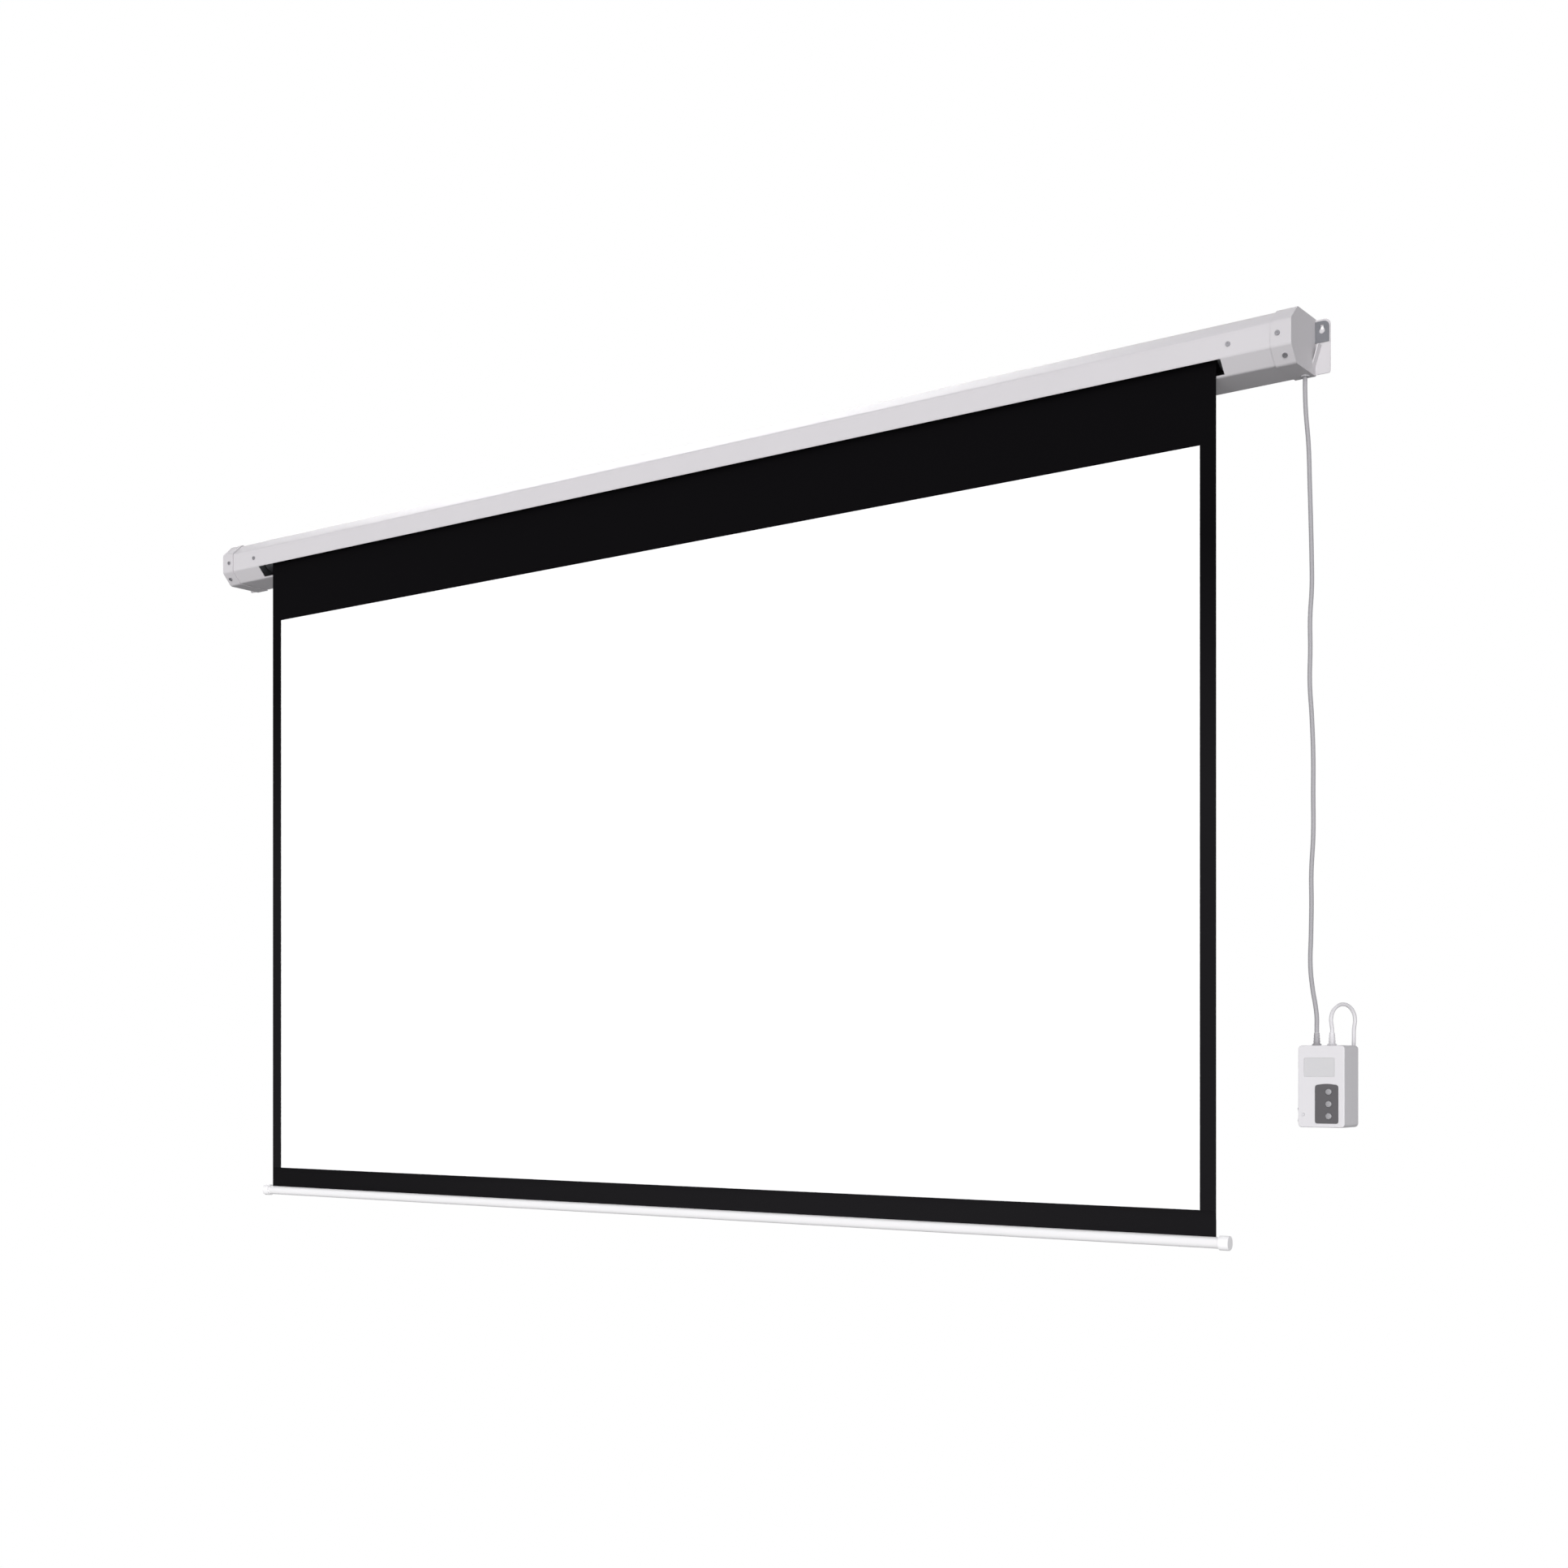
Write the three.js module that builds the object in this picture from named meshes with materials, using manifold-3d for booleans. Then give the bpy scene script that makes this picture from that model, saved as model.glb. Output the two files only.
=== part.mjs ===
// A motorized projection screen, hung on a wall and fully lowered.
// Lengths are millimetres. +X runs along the width, +Y goes into the wall and +Z is up.
// The origin is the middle of the housing's flat back, on the wall.
import * as THREE from "three";
import { mergeVertices } from "three/addons/utils/BufferGeometryUtils.js";
import Module from "manifold-3d";

const wasm = await Module();
wasm.setup();

// Driving dimensions
const gap = 0.3; // between pieces that touch
const overrun = 2; // how far a cutter runs past the face that it opens

const picture = { width: 2214, height: 1245 }; // 16:9 and 100 inches across its corners

const housing = {
  endMargin: 119, // from the slot's end to the outside of an end wall
  depth: 104,
  height: 88,
  wall: 1.6,
  topBevelDepth: 26,
  topBevelHeight: 24,
  lowBevelDepth: 22,
  lowBevelHeight: 25,
  frontRadius: 7,
  backRadius: 2.5,
};
const sharpestShare = 0.2; // of a corner's radius, at the least, on a line inside it
const cornerReachShare = 0.45; // of a side, at the most, that one of its corners takes up

const slot = { sideMargin: 22, topMargin: 1.5, lip: 4 }; // top margin and lip lie along the lower bevel

const fabric = {
  thickness: 0.5,
  sideBorder: 28,
  leader: 128, // black, from the slot's upper edge to the picture
  hemBorder: 42.5,
  centreX: 8,
  lipClearance: 1,
};

const cap = { wall: 3, skirt: 34, skirtWall: 1.7, backRadius: 1 };
const ear = {
  width: 24,
  cornerRadius: 9,
  footRadius: 3,
  webThickness: 2,
  webDepth: 15,
  webTopX: 9,
  webTopZ: 2,
  webFootZ: -32,
  holeRadius: 3,
};
const hanger = {
  thickness: 2,
  height: 34,
  inside: 80,
  topMargin: 2,
  edgeMargin: 1.5,
  holeX: 11,
  holeDrop: 15,
  holeRadius: 5,
  keySlotWidth: 5.4,
  keySlotRise: 10,
};
const stud = { radius: 3, spacing: 40, firstInset: 16 }; // pressed out of the hanger into the back
const panScrew = {
  radius: 2,
  length: 9,
  headRadius: 4,
  headHeight: 2.2,
  driveRadius: 1.5,
  driveDepth: 1.2,
};
const capScrewInset = { front: 22, bevel: 14 }; // from the outside of the end wall

const bracket = { thickness: 2.5, slotMargin: 5, flangeReach: 20, flangeHeight: 30, screwInset: 9 };

const roller = { radius: 25, wall: 1.5, rollThickness: 1 };
const plug = { insert: 40, flange: 2, bore: 5, bearingDepth: 9 };
const bearing = { radius: 11, bore: 4, width: 7 };
const pin = { reach: 34, headRadius: 7, headHeight: 2.4 };

const motor = {
  radius: 17.5,
  wall: 1.5,
  length: 410,
  coreEndRoom: 61, // from the sealed motor to the head's neck
  shaftRadius: 5,
  shaftReach: 30,
  headRadius: 24,
  headLength: 12,
  neckLength: 16,
  screwRadius: 2,
  screwReach: 9,
  screwHeadRadius: 3.8,
  screwHeadHeight: 2.2,
  screwCircle: 17,
};
const crown = { insert: 24, flange: 2 };
const driveWheel = { length: 18, hubRadius: 9, webCount: 6, webWidth: 4, rim: 3 };
const limitScrew = { radius: 3, length: 9, slotWidth: 1.2, slotDepth: 1.5, circle: 14, spreadAngle: 0.5 };

const bar = {
  depth: 17,
  height: 19,
  wall: 1.4,
  endMargin: 24,
  slit: 2.6,
  capWall: 4,
  capInsert: 14,
  capSleeve: 13, // over the outside of the tube
  capOver: 2.5, // from the tube's outside to the sleeve's
  capBevel: 1.5,
  weightRadius: 4,
  splineRadius: 2.2,
  stopClearance: 3,
};

const lead = { radius: 3.5, sides: 8, steps: 64 };
const leadExit = { inset: 12, fromWall: 16 };
const grommet = { flangeRadius: 7.5, flangeHeight: 2.2, wall: 1.6, rise: 3 };
const innerLead = { steps: 20 };

const box = {
  width: 75,
  height: 129,
  depth: 62,
  wall: 2.4,
  fromWall: 26,
  fromExit: 53.3, // from the lead's exit to the middle of the box
  topZ: -1126,
  cornerRadius: 6,
  edgeRadius: 2,
  coverDepth: 27,
  motorGlandX: -18.5,
  mainsGlandX: 6.2,
};
const label = {
  width: 49,
  left: 10,
  top: 19.5,
  panelMargin: 9.5, // down to the button panel
  thickness: 0.5,
  sink: 0.9,
  cornerRadius: 2,
};
const panel = {
  width: 37.6,
  height: 64,
  right: 9.8,
  bottom: 6,
  thickness: 1.2,
  sink: 0.9,
  archRise: 7,
  footRadius: 4,
};
const button = {
  radius: 5,
  proud: 2.2,
  travel: 1.5,
  pitch: 19.1,
  right: 25,
  lowestZ: 18,
  flangeRadius: 6.3,
  flangeThickness: 1.2,
  stemRadius: 2,
  domeRadiusShares: [0.7, 0.92],
  domeDropShares: [0.1, 0.3, 0.6],
};
const lamp = { radius: 2.5, proud: 0.8, left: 8.5, lowZ: 20, bodyLength: 6, rimRadius: 3.2, rim: 0.8 };
const board = { margin: 3, thickness: 1.6, switchSide: 6, switchHeight: 3.4 };
const terminal = {
  width: 34,
  height: 10,
  depth: 12,
  dropFromTop: 14,
  poles: 5,
  screwRadius: 2,
  screwDepth: 2,
};
const relay = { width: 15, height: 19, depth: 9, pitch: 19, dropFromTop: 36 };
const relief = {
  radius: 5.6,
  tipRadius: 4.4,
  rise: 20,
  collarRadius: 7.2,
  collar: 2,
  insert: 5,
  ribs: 4,
  ribDepth: 0.6,
};
const boxScrew = { radius: 1.8, headRadius: 3.6, headHeight: 2, length: 42, inset: 12 };

const mains = { radius: 3, sides: 8, steps: 28, tailSteps: 12 };
const coil = {
  centreX: -16, // from the middle of the control box
  dropFromTop: 50,
  fromWall: 13,
  midRadius: 33,
  turns: 5,
  spacing: 6.6,
  stepsPerTurn: 24,
  climbTurnShare: 0.5, // of a turn, to change layers
  sides: 6,
};
const tie = { width: 8, thickness: 1.2, clearance: 0.5, innerRadius: 2.4, outerRadius: 3.6 };
const mainsPlug = {
  length: 35,
  width: 26,
  depth: 13,
  noseShare: 0.55,
  reliefRadius: 4.6,
  reliefLength: 12,
  pinRadius: 2,
  pinReach: 19,
  pinSpacing: 18.6,
  centreDrop: 111,
  edgeRadius: 2,
};

// Finishes
const finish = (color, roughness, metalness = 0) =>
  new THREE.MeshStandardMaterial({ color, roughness, metalness });
const finishes = {
  coatedSteel: finish(0xe4e2e4, 0.45),
  capPlastic: finish(0xdad8da, 0.5),
  zincSteel: finish(0x8f9092, 0.4, 0.9),
  darkScrew: finish(0x6c6b6d, 0.4, 0.8),
  aluminium: finish(0xb9bbbd, 0.35, 0.9),
  blackFabric: finish(0x151416, 0.85),
  whiteFabric: finish(0xf7f7f7, 0.9),
  blackPlastic: finish(0x222224, 0.55),
  motorSteel: finish(0xa9abad, 0.4, 0.9),
  barWhite: finish(0xf2f1f2, 0.4),
  leadGrey: finish(0xc6c5c8, 0.55),
  boxWhite: finish(0xecebec, 0.5),
  panelGrey: finish(0x5c5a5d, 0.5),
  buttonGrey: finish(0x9d9c9e, 0.45),
  boardGreen: finish(0x2c6a45, 0.6),
  relayBlue: finish(0x2d5fa8, 0.45),
  brass: finish(0xc8a24c, 0.3, 1),
  lampGrey: finish(0xaaa9ac, 0.3),
  labelGrey: finish(0xd2d1d3, 0.5),
};

// Solids from geometries, and back
function solidOf(geometry) {
  const plain = geometry.clone();
  plain.deleteAttribute("normal");
  plain.deleteAttribute("uv");
  const merged = mergeVertices(plain, 1e-4);
  return new wasm.Manifold(
    new wasm.Mesh({
      numProp: 3,
      vertProperties: merged.attributes.position.array,
      triVerts: new Uint32Array(merged.index.array),
    }),
  );
}

function geometryOf(solid) {
  const mesh = solid.getMesh();
  const indexed = new THREE.BufferGeometry();
  indexed.setAttribute("position", new THREE.BufferAttribute(mesh.vertProperties, 3));
  indexed.setIndex(new THREE.BufferAttribute(mesh.triVerts, 1));
  const flat = indexed.toNonIndexed();
  flat.computeVertexNormals();
  return flat;
}

const join = (...pieces) => geometryOf(pieces.map(solidOf).reduce((a, b) => a.add(b)));
const cut = (body, ...cutters) =>
  geometryOf(cutters.map(solidOf).reduce((a, b) => a.subtract(b), solidOf(body)));
const overlap = (a, b) => geometryOf(solidOf(a).intersect(solidOf(b)));

// A block between two corners
function block([x0, x1], [y0, y1], [z0, z1]) {
  const middle = [(x0 + x1) / 2, (y0 + y1) / 2, (z0 + z1) / 2];
  return new THREE.BoxGeometry(x1 - x0, y1 - y0, z1 - z0).translate(...middle);
}

const alongX = new THREE.Matrix4().makeBasis(
  new THREE.Vector3(0, 1, 0),
  new THREE.Vector3(0, 0, 1),
  new THREE.Vector3(1, 0, 0),
);
const towardRoom = new THREE.Matrix4().makeBasis(
  new THREE.Vector3(1, 0, 0),
  new THREE.Vector3(0, 0, 1),
  new THREE.Vector3(0, -1, 0),
);

// A (y, z) outline drawn out along X from x0 to x1
function drawnAlongX(shape, x0, x1) {
  return new THREE.ExtrudeGeometry(shape, { depth: x1 - x0, bevelEnabled: false })
    .translate(0, 0, x0)
    .applyMatrix4(alongX);
}

// An (x, z) outline drawn out toward the room, from y = back to y = front
function drawnTowardRoom(shape, back, front) {
  return new THREE.ExtrudeGeometry(shape, { depth: back - front, bevelEnabled: false, curveSegments: 4 })
    .translate(0, 0, -back)
    .applyMatrix4(towardRoom);
}

function rodX(radius, x0, x1, sides = 28) {
  return new THREE.CylinderGeometry(radius, radius, x1 - x0, sides)
    .rotateZ(-Math.PI / 2)
    .translate((x0 + x1) / 2, 0, 0);
}

function rodY(radius, y0, y1, sides = 16) {
  return new THREE.CylinderGeometry(radius, radius, y1 - y0, sides).translate(0, (y0 + y1) / 2, 0);
}

function rodZ(radius, z0, z1, sides = 20) {
  return new THREE.CylinderGeometry(radius, radius, z1 - z0, sides)
    .rotateX(Math.PI / 2)
    .translate(0, 0, (z0 + z1) / 2);
}

const tubeX = (outer, inner, x0, x1, sides = 40) =>
  cut(rodX(outer, x0, x1, sides), rodX(inner, x0 - overrun, x1 + overrun, sides));

// Outlines
function lineShape(points) {
  return new THREE.Shape(points.map(([u, v]) => new THREE.Vector2(u, v)));
}

// The same convex outline, counter-clockwise, with every side moved inwards
function insetOutline(points, inset) {
  const count = points.length;
  const sides = points.map(([u, v], i) => {
    const [u2, v2] = points[(i + 1) % count];
    const length = Math.hypot(u2 - u, v2 - v);
    const normal = [-(v2 - v) / length, (u2 - u) / length];
    return { normal, offset: normal[0] * u + normal[1] * v + inset };
  });
  return points.map((_, i) => {
    const a = sides[(i + count - 1) % count];
    const b = sides[i];
    const det = a.normal[0] * b.normal[1] - a.normal[1] * b.normal[0];
    return [
      (a.offset * b.normal[1] - b.offset * a.normal[1]) / det,
      (a.normal[0] * b.offset - b.normal[0] * a.offset) / det,
    ];
  });
}

// A closed outline whose corners are arcs, each tangent to its two sides
function roundedShape(points, radii, steps = 4) {
  const count = points.length;
  const rounded = points.flatMap((corner, i) => {
    const at = new THREE.Vector2(...corner);
    const before = new THREE.Vector2(...points[(i + count - 1) % count]).sub(at);
    const after = new THREE.Vector2(...points[(i + 1) % count]).sub(at);
    const half = Math.abs(Math.atan2(before.cross(after), before.dot(after))) / 2;
    const reach = Math.min(before.length(), after.length()) * cornerReachShare;
    const tangent = Math.min(radii[i] / Math.tan(half), reach);
    const radius = tangent * Math.tan(half);
    const middle = before.clone().normalize().add(after.clone().normalize()).normalize();
    const centre = at.clone().addScaledVector(middle, radius / Math.sin(half));
    const start = at.clone().addScaledVector(before.normalize(), tangent).sub(centre);
    const end = at.clone().addScaledVector(after.normalize(), tangent).sub(centre);
    const sweep = Math.atan2(start.cross(end), start.dot(end));
    return Array.from({ length: steps + 1 }, (_, k) => {
      const p = start.clone().rotateAround(new THREE.Vector2(), (sweep * k) / steps).add(centre);
      return [p.x, p.y];
    });
  });
  return lineShape(rounded);
}

const rectangle = ([u0, u1], [v0, v1]) => [
  [u0, v0],
  [u1, v0],
  [u1, v1],
  [u0, v1],
];

// A tube or solid cord along a route of hand-set points
function cordAlong(points, radius, sides, steps) {
  const route = new THREE.CatmullRomCurve3(
    points.map((p) => new THREE.Vector3(...p)),
    false,
    "centripetal",
  );
  const section = new THREE.Shape().absarc(0, 0, radius, 0, 2 * Math.PI);
  return new THREE.ExtrudeGeometry(section, { steps, curveSegments: sides / 2, extrudePath: route });
}

// One named mesh in a group
function piece(group, name, geometry, material) {
  const mesh = new THREE.Mesh(geometry, material);
  mesh.name = name;
  group.add(mesh);
  return mesh;
}

function groupAt(parent, x, y, z) {
  const group = new THREE.Group();
  group.position.set(x, y, z);
  parent.add(group);
  return group;
}

const screen = new THREE.Group();

// Housing section, from the back's foot round the front, counter-clockwise in (y, z)
const half = housing.height / 2;
const frontLowZ = -half + housing.lowBevelHeight;
const frontHighZ = half - housing.topBevelHeight;
const bevelFootY = -housing.depth + housing.lowBevelDepth;
const bevelTopY = -housing.depth + housing.topBevelDepth;
const section = [
  [0, -half],
  [0, half],
  [bevelTopY, half],
  [-housing.depth, frontHighZ],
  [-housing.depth, frontLowZ],
  [bevelFootY, -half],
];
const sectionRadii = [
  housing.backRadius,
  housing.backRadius,
  housing.frontRadius,
  housing.frontRadius,
  housing.frontRadius,
  housing.frontRadius,
];
const shrink = (radii, by) => radii.map((r) => Math.max(r - by, r * sharpestShare));

// The lower bevel: its direction up the slope and its normal toward the room
const bevelLength = Math.hypot(housing.lowBevelDepth, housing.lowBevelHeight);
const bevelUp = [-housing.lowBevelDepth / bevelLength, housing.lowBevelHeight / bevelLength];
const bevelOut = [-housing.lowBevelHeight / bevelLength, -housing.lowBevelDepth / bevelLength];
const onBevel = (up, out) => [
  bevelFootY + bevelUp[0] * up + bevelOut[0] * out,
  -half + bevelUp[1] * up + bevelOut[1] * out,
];

const slotTop = onBevel(bevelLength - slot.topMargin, 0);
const lipEdge = onBevel(slot.lip, 0);

// Places that the pieces share
const fabricWidth = picture.width + 2 * fabric.sideBorder;
const slotHalf = fabricWidth / 2 + slot.sideMargin;
const endX = slotHalf + housing.endMargin; // outside of an end wall
const tubeEndX = endX - cap.wall - gap;
const fabricBackY = lipEdge[0] - fabric.lipClearance;
const fabricMidY = fabricBackY - fabric.thickness / 2;
const rollRadius = roller.radius + gap + roller.rollThickness;
const rollerY = fabricBackY + gap + rollRadius;
const pictureTopZ = slotTop[1] - fabric.leader;
const hemTopZ = pictureTopZ - picture.height;
const barTopZ = hemTopZ - fabric.hemBorder;
const barCentreZ = barTopZ - bar.height / 2;
const bracketX = slotHalf + bracket.slotMargin; // inner face of a roller bracket
const rollerEndX = {
  left: -bracketX + plug.flange + 2 * gap,
  right: bracketX - motor.headLength - crown.flange - 4 * gap,
};

// A pan-head screw along +Y with its head toward the room, its seat at y = 0
function panHeadScrew(size) {
  const head = rodY(size.headRadius, -size.headHeight, 0);
  const shank = rodY(size.radius, -size.headHeight / 2, size.length, 12);
  const drive = rodY(size.driveRadius, -size.headHeight - overrun, -size.headHeight + size.driveDepth, 6);
  return cut(join(head, shank), drive);
}

// Steel housing
const housingGroup = groupAt(screen, 0, 0, 0);
const bevelScrewUp = bevelLength / 2;

function slotCutter() {
  const foot = slot.lip;
  const top = bevelLength - slot.topMargin;
  const reach = housing.wall + overrun;
  const [outside, inside] = [overrun, -reach];
  const outline = [
    onBevel(foot, outside),
    onBevel(top, outside),
    onBevel(top, inside),
    onBevel(foot, inside),
  ];
  return drawnAlongX(lineShape(outline.reverse()), -slotHalf, slotHalf);
}

function screwHole(x, [y, z], normalAngle, radius = panScrew.radius + gap) {
  return rodY(radius, -cap.skirtWall - gap - overrun, panScrew.length + overrun, 12)
    .rotateX(normalAngle)
    .translate(x, y, z);
}

const frontScrewZ = (frontHighZ + frontLowZ) / 2;
const bevelAngle = Math.atan2(housing.lowBevelDepth, housing.lowBevelHeight);
const capScrewPlaces = (side) => [
  { name: "front", x: side * (endX - capScrewInset.front), at: [-housing.depth, frontScrewZ], angle: 0 },
  { name: "bevel", x: side * (endX - capScrewInset.bevel), at: onBevel(bevelScrewUp, 0), angle: bevelAngle },
];
const bracketScrewX = bracketX + bracket.screwInset;
const hangerInnerX = endX - cap.wall - hanger.inside;
const hangerTopZ = half - housing.wall - hanger.topMargin;
const hangerMidZ = hangerTopZ - hanger.height / 2;
const studXs = [0, 1].map((i) => hangerInnerX + stud.firstInset + i * stud.spacing);
const exitX = endX - leadExit.inset;
const exitY = -leadExit.fromWall;
const neckRadius = lead.radius + gap + grommet.wall;

function housingShell() {
  const outer = roundedShape(section, sectionRadii);
  const inner = insetOutline(section, housing.wall);
  outer.holes.push(roundedShape(inner, shrink(sectionRadii, housing.wall)));
  const holes = [-1, 1].flatMap((side) => [
    ...capScrewPlaces(side).map(({ x, at, angle }) => screwHole(x, at, angle)),
    screwHole(side * bracketScrewX, [-housing.depth, frontScrewZ], 0),
    ...studXs.map((x) =>
      rodY(stud.radius + gap, -housing.wall - overrun, overrun).translate(side * x, 0, hangerMidZ),
    ),
  ]);
  const leadHole = rodZ(neckRadius + gap, -half - overrun, -half + housing.wall + overrun)
    .translate(exitX, exitY, 0);
  return cut(drawnAlongX(outer, -tubeEndX, tubeEndX), slotCutter(), leadHole, ...holes);
}

piece(housingGroup, "housing_shell", housingShell(), finishes.coatedSteel);

// End caps, each a moulded sleeve with an ear that lies on the wall
const capReach = gap + cap.skirtWall; // from the housing's face to the cap's face
const capOutline = insetOutline(section, -capReach).map(([y, z]) => [Math.min(y, 0), z]);
const capRadii = sectionRadii.map((r, i) => (section[i][0] === 0 ? cap.backRadius : r + capReach));
const sleeveOutline = insetOutline(section, -gap).map(([y, z]) => [y > 0 ? 2 * overrun : y, z]);

function earPlate() {
  const x0 = endX - cap.wall;
  const x1 = endX + ear.width;
  const outline = rectangle([x0, x1], [-half, half]);
  const plate = drawnTowardRoom(
    roundedShape(outline, [ear.footRadius, ear.footRadius, ear.cornerRadius, ear.footRadius]),
    0,
    -housing.wall,
  );
  const hole = rodY(ear.holeRadius, -housing.wall - overrun, overrun)
    .translate(endX + hanger.holeX, 0, hangerTopZ - hanger.holeDrop + hanger.keySlotRise / 2);
  return cut(plate, hole);
}

function earWeb() {
  const top = [endX + ear.webTopX, ear.webTopZ];
  const foot = [endX - cap.wall / 2, ear.webFootZ];
  const length = Math.hypot(top[0] - foot[0], top[1] - foot[1]);
  const lean = Math.atan2(top[0] - foot[0], top[1] - foot[1]);
  return block([-ear.webThickness / 2, ear.webThickness / 2], [-ear.webDepth, -housing.wall / 2], [0, length])
    .rotateY(lean)
    .translate(foot[0], 0, foot[1]);
}

function endCap() {
  const outer = drawnAlongX(roundedShape(capOutline, capRadii), endX - cap.skirt, endX);
  const hollow = drawnAlongX(
    roundedShape(sleeveOutline, shrink(sectionRadii, -gap)),
    endX - cap.skirt - overrun,
    endX - cap.wall,
  );
  const rim = drawnAlongX(
    roundedShape(insetOutline(section, housing.wall + gap), shrink(sectionRadii, housing.wall)),
    endX - cap.wall - cap.wall,
    endX - cap.wall / 2,
  );
  const hangerSlot = block(
    [endX - 2 * cap.wall - overrun, endX + overrun],
    [-housing.wall - 2 * gap - hanger.thickness, -housing.wall],
    [hangerTopZ - hanger.height - gap, hangerTopZ + gap],
  );
  const screwHoles = capScrewPlaces(1).map(({ x, at, angle }) => screwHole(x, at, angle));
  const leadHole = rodZ(neckRadius + gap, -half - capReach - overrun, -half + housing.wall + overrun)
    .translate(exitX, exitY, 0);
  const shell = cut(outer, hollow);
  const sleeve = cut(shell, hangerSlot, ...screwHoles);
  return { plain: join(sleeve, cut(rim, hangerSlot, leadHole), earPlate(), earWeb()), leadHole };
}

// The left end is the right end mirrored in the plane x = 0
function mirrored(geometry) {
  const flipped = geometry.clone().scale(-1, 1, 1);
  const at = flipped.attributes.position;
  for (let i = 0; i < at.count; i += 3) {
    const [x, y, z] = [at.getX(i + 1), at.getY(i + 1), at.getZ(i + 1)];
    at.setXYZ(i + 1, at.getX(i + 2), at.getY(i + 2), at.getZ(i + 2));
    at.setXYZ(i + 2, x, y, z);
  }
  flipped.computeVertexNormals();
  return flipped;
}

const capGeometry = endCap();
piece(housingGroup, "end_cap_left", mirrored(capGeometry.plain), finishes.capPlastic);
piece(housingGroup, "end_cap_right", cut(capGeometry.plain, capGeometry.leadHole), finishes.capPlastic);

// Steel hanger plates, clinched to the inside of the housing's back, with a keyhole for the wall screw
function hangerPlate() {
  const outline = rectangle(
    [hangerInnerX, endX + ear.width - hanger.edgeMargin],
    [hangerTopZ - hanger.height, hangerTopZ],
  );
  const plate = drawnTowardRoom(
    roundedShape(outline, [hanger.edgeMargin, hanger.edgeMargin, ear.cornerRadius, hanger.edgeMargin]),
    -housing.wall - gap,
    -housing.wall - gap - hanger.thickness,
  );
  const keyX = endX + hanger.holeX;
  const keyZ = hangerTopZ - hanger.holeDrop;
  const through = [-housing.wall - hanger.thickness - overrun, overrun];
  const entry = rodY(hanger.holeRadius, ...through).translate(keyX, 0, keyZ);
  const channel = block(
    [keyX - hanger.keySlotWidth / 2, keyX + hanger.keySlotWidth / 2],
    through,
    [keyZ, keyZ + hanger.keySlotRise],
  );
  const studs = studXs.map((x) =>
    rodY(stud.radius, -housing.wall - gap - hanger.thickness / 2, -gap, 20).translate(x, 0, hangerMidZ),
  );
  return join(cut(plate, entry, channel), ...studs);
}

const sides = [
  { word: "left", sign: -1, placed: mirrored },
  { word: "right", sign: 1, placed: (geometry) => geometry },
];
for (const { word, sign, placed } of sides) {
  piece(housingGroup, `hanger_plate_${word}`, placed(hangerPlate()), finishes.zincSteel);
  for (const { name, x, at, angle } of capScrewPlaces(sign)) {
    const mesh = piece(housingGroup, `cap_screw_${word}_${name}`, panHeadScrew(panScrew), finishes.darkScrew);
    const out = capReach + gap;
    mesh.position.set(x, at[0] - Math.cos(angle) * out, at[1] - Math.sin(angle) * out);
    mesh.rotation.x = angle;
  }
  const screw = piece(housingGroup, `bracket_screw_${word}`, panHeadScrew(panScrew), finishes.darkScrew);
  screw.position.set(sign * bracketScrewX, -housing.depth - gap, frontScrewZ);
}

// Roller brackets, pressed steel plates that fill the housing's section
function bracketPlate(centreHole, extraCutters) {
  const inner = insetOutline(section, housing.wall + gap);
  const radii = shrink(sectionRadii, housing.wall);
  const plate = drawnAlongX(roundedShape(inner, radii), bracketX, bracketX + bracket.thickness);
  const faceY = -housing.depth + housing.wall + gap;
  const flange = block(
    [bracketX, bracketX + bracket.flangeReach],
    [faceY, faceY + bracket.thickness],
    [frontScrewZ - bracket.flangeHeight / 2, frontScrewZ + bracket.flangeHeight / 2],
  );
  const screw = screwHole(bracketScrewX, [-housing.depth, frontScrewZ], 0);
  const centre = rodX(centreHole, bracketX - overrun, bracketX + bracket.thickness + overrun)
    .translate(0, rollerY, 0);
  return cut(join(plate, flange), screw, centre, ...extraCutters);
}

const throughBracket = (radius) =>
  rodX(radius, bracketX - overrun, bracketX + bracket.thickness + overrun, 20);
const onCircle = (radius, angle) => [rollerY + radius * Math.sin(angle), radius * Math.cos(angle)];
const motorScrewPlaces = [Math.PI / 2, -Math.PI / 2].map((angle) => onCircle(motor.screwCircle, angle));
const limitScrewPlaces = [Math.PI - limitScrew.spreadAngle, Math.PI + limitScrew.spreadAngle].map((angle) =>
  onCircle(limitScrew.circle, angle),
);
const motorSideCutters = [
  ...motorScrewPlaces.map(([y, z]) => throughBracket(motor.screwRadius + gap).translate(0, y, z)),
  ...limitScrewPlaces.map(([y, z]) => throughBracket(limitScrew.radius + gap).translate(0, y, z)),
];
piece(housingGroup, "idler_bracket", mirrored(bracketPlate(bearing.bore, [])), finishes.zincSteel);
const motorBracket = bracketPlate(lead.radius + 2 * gap, motorSideCutters);
piece(housingGroup, "motor_bracket", motorBracket, finishes.zincSteel);

// Idler pin, fixed in the left bracket
const idlerGroup = groupAt(housingGroup, -bracketX, rollerY, 0);
const pinShank = rodX(bearing.bore - gap, -bracket.thickness - pin.headHeight, pin.reach, 24);
const pinHead = rodX(pin.headRadius, -bracket.thickness - gap - pin.headHeight, -bracket.thickness - gap, 24);
piece(idlerGroup, "idler_pin", join(pinShank, pinHead), finishes.zincSteel);

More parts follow.
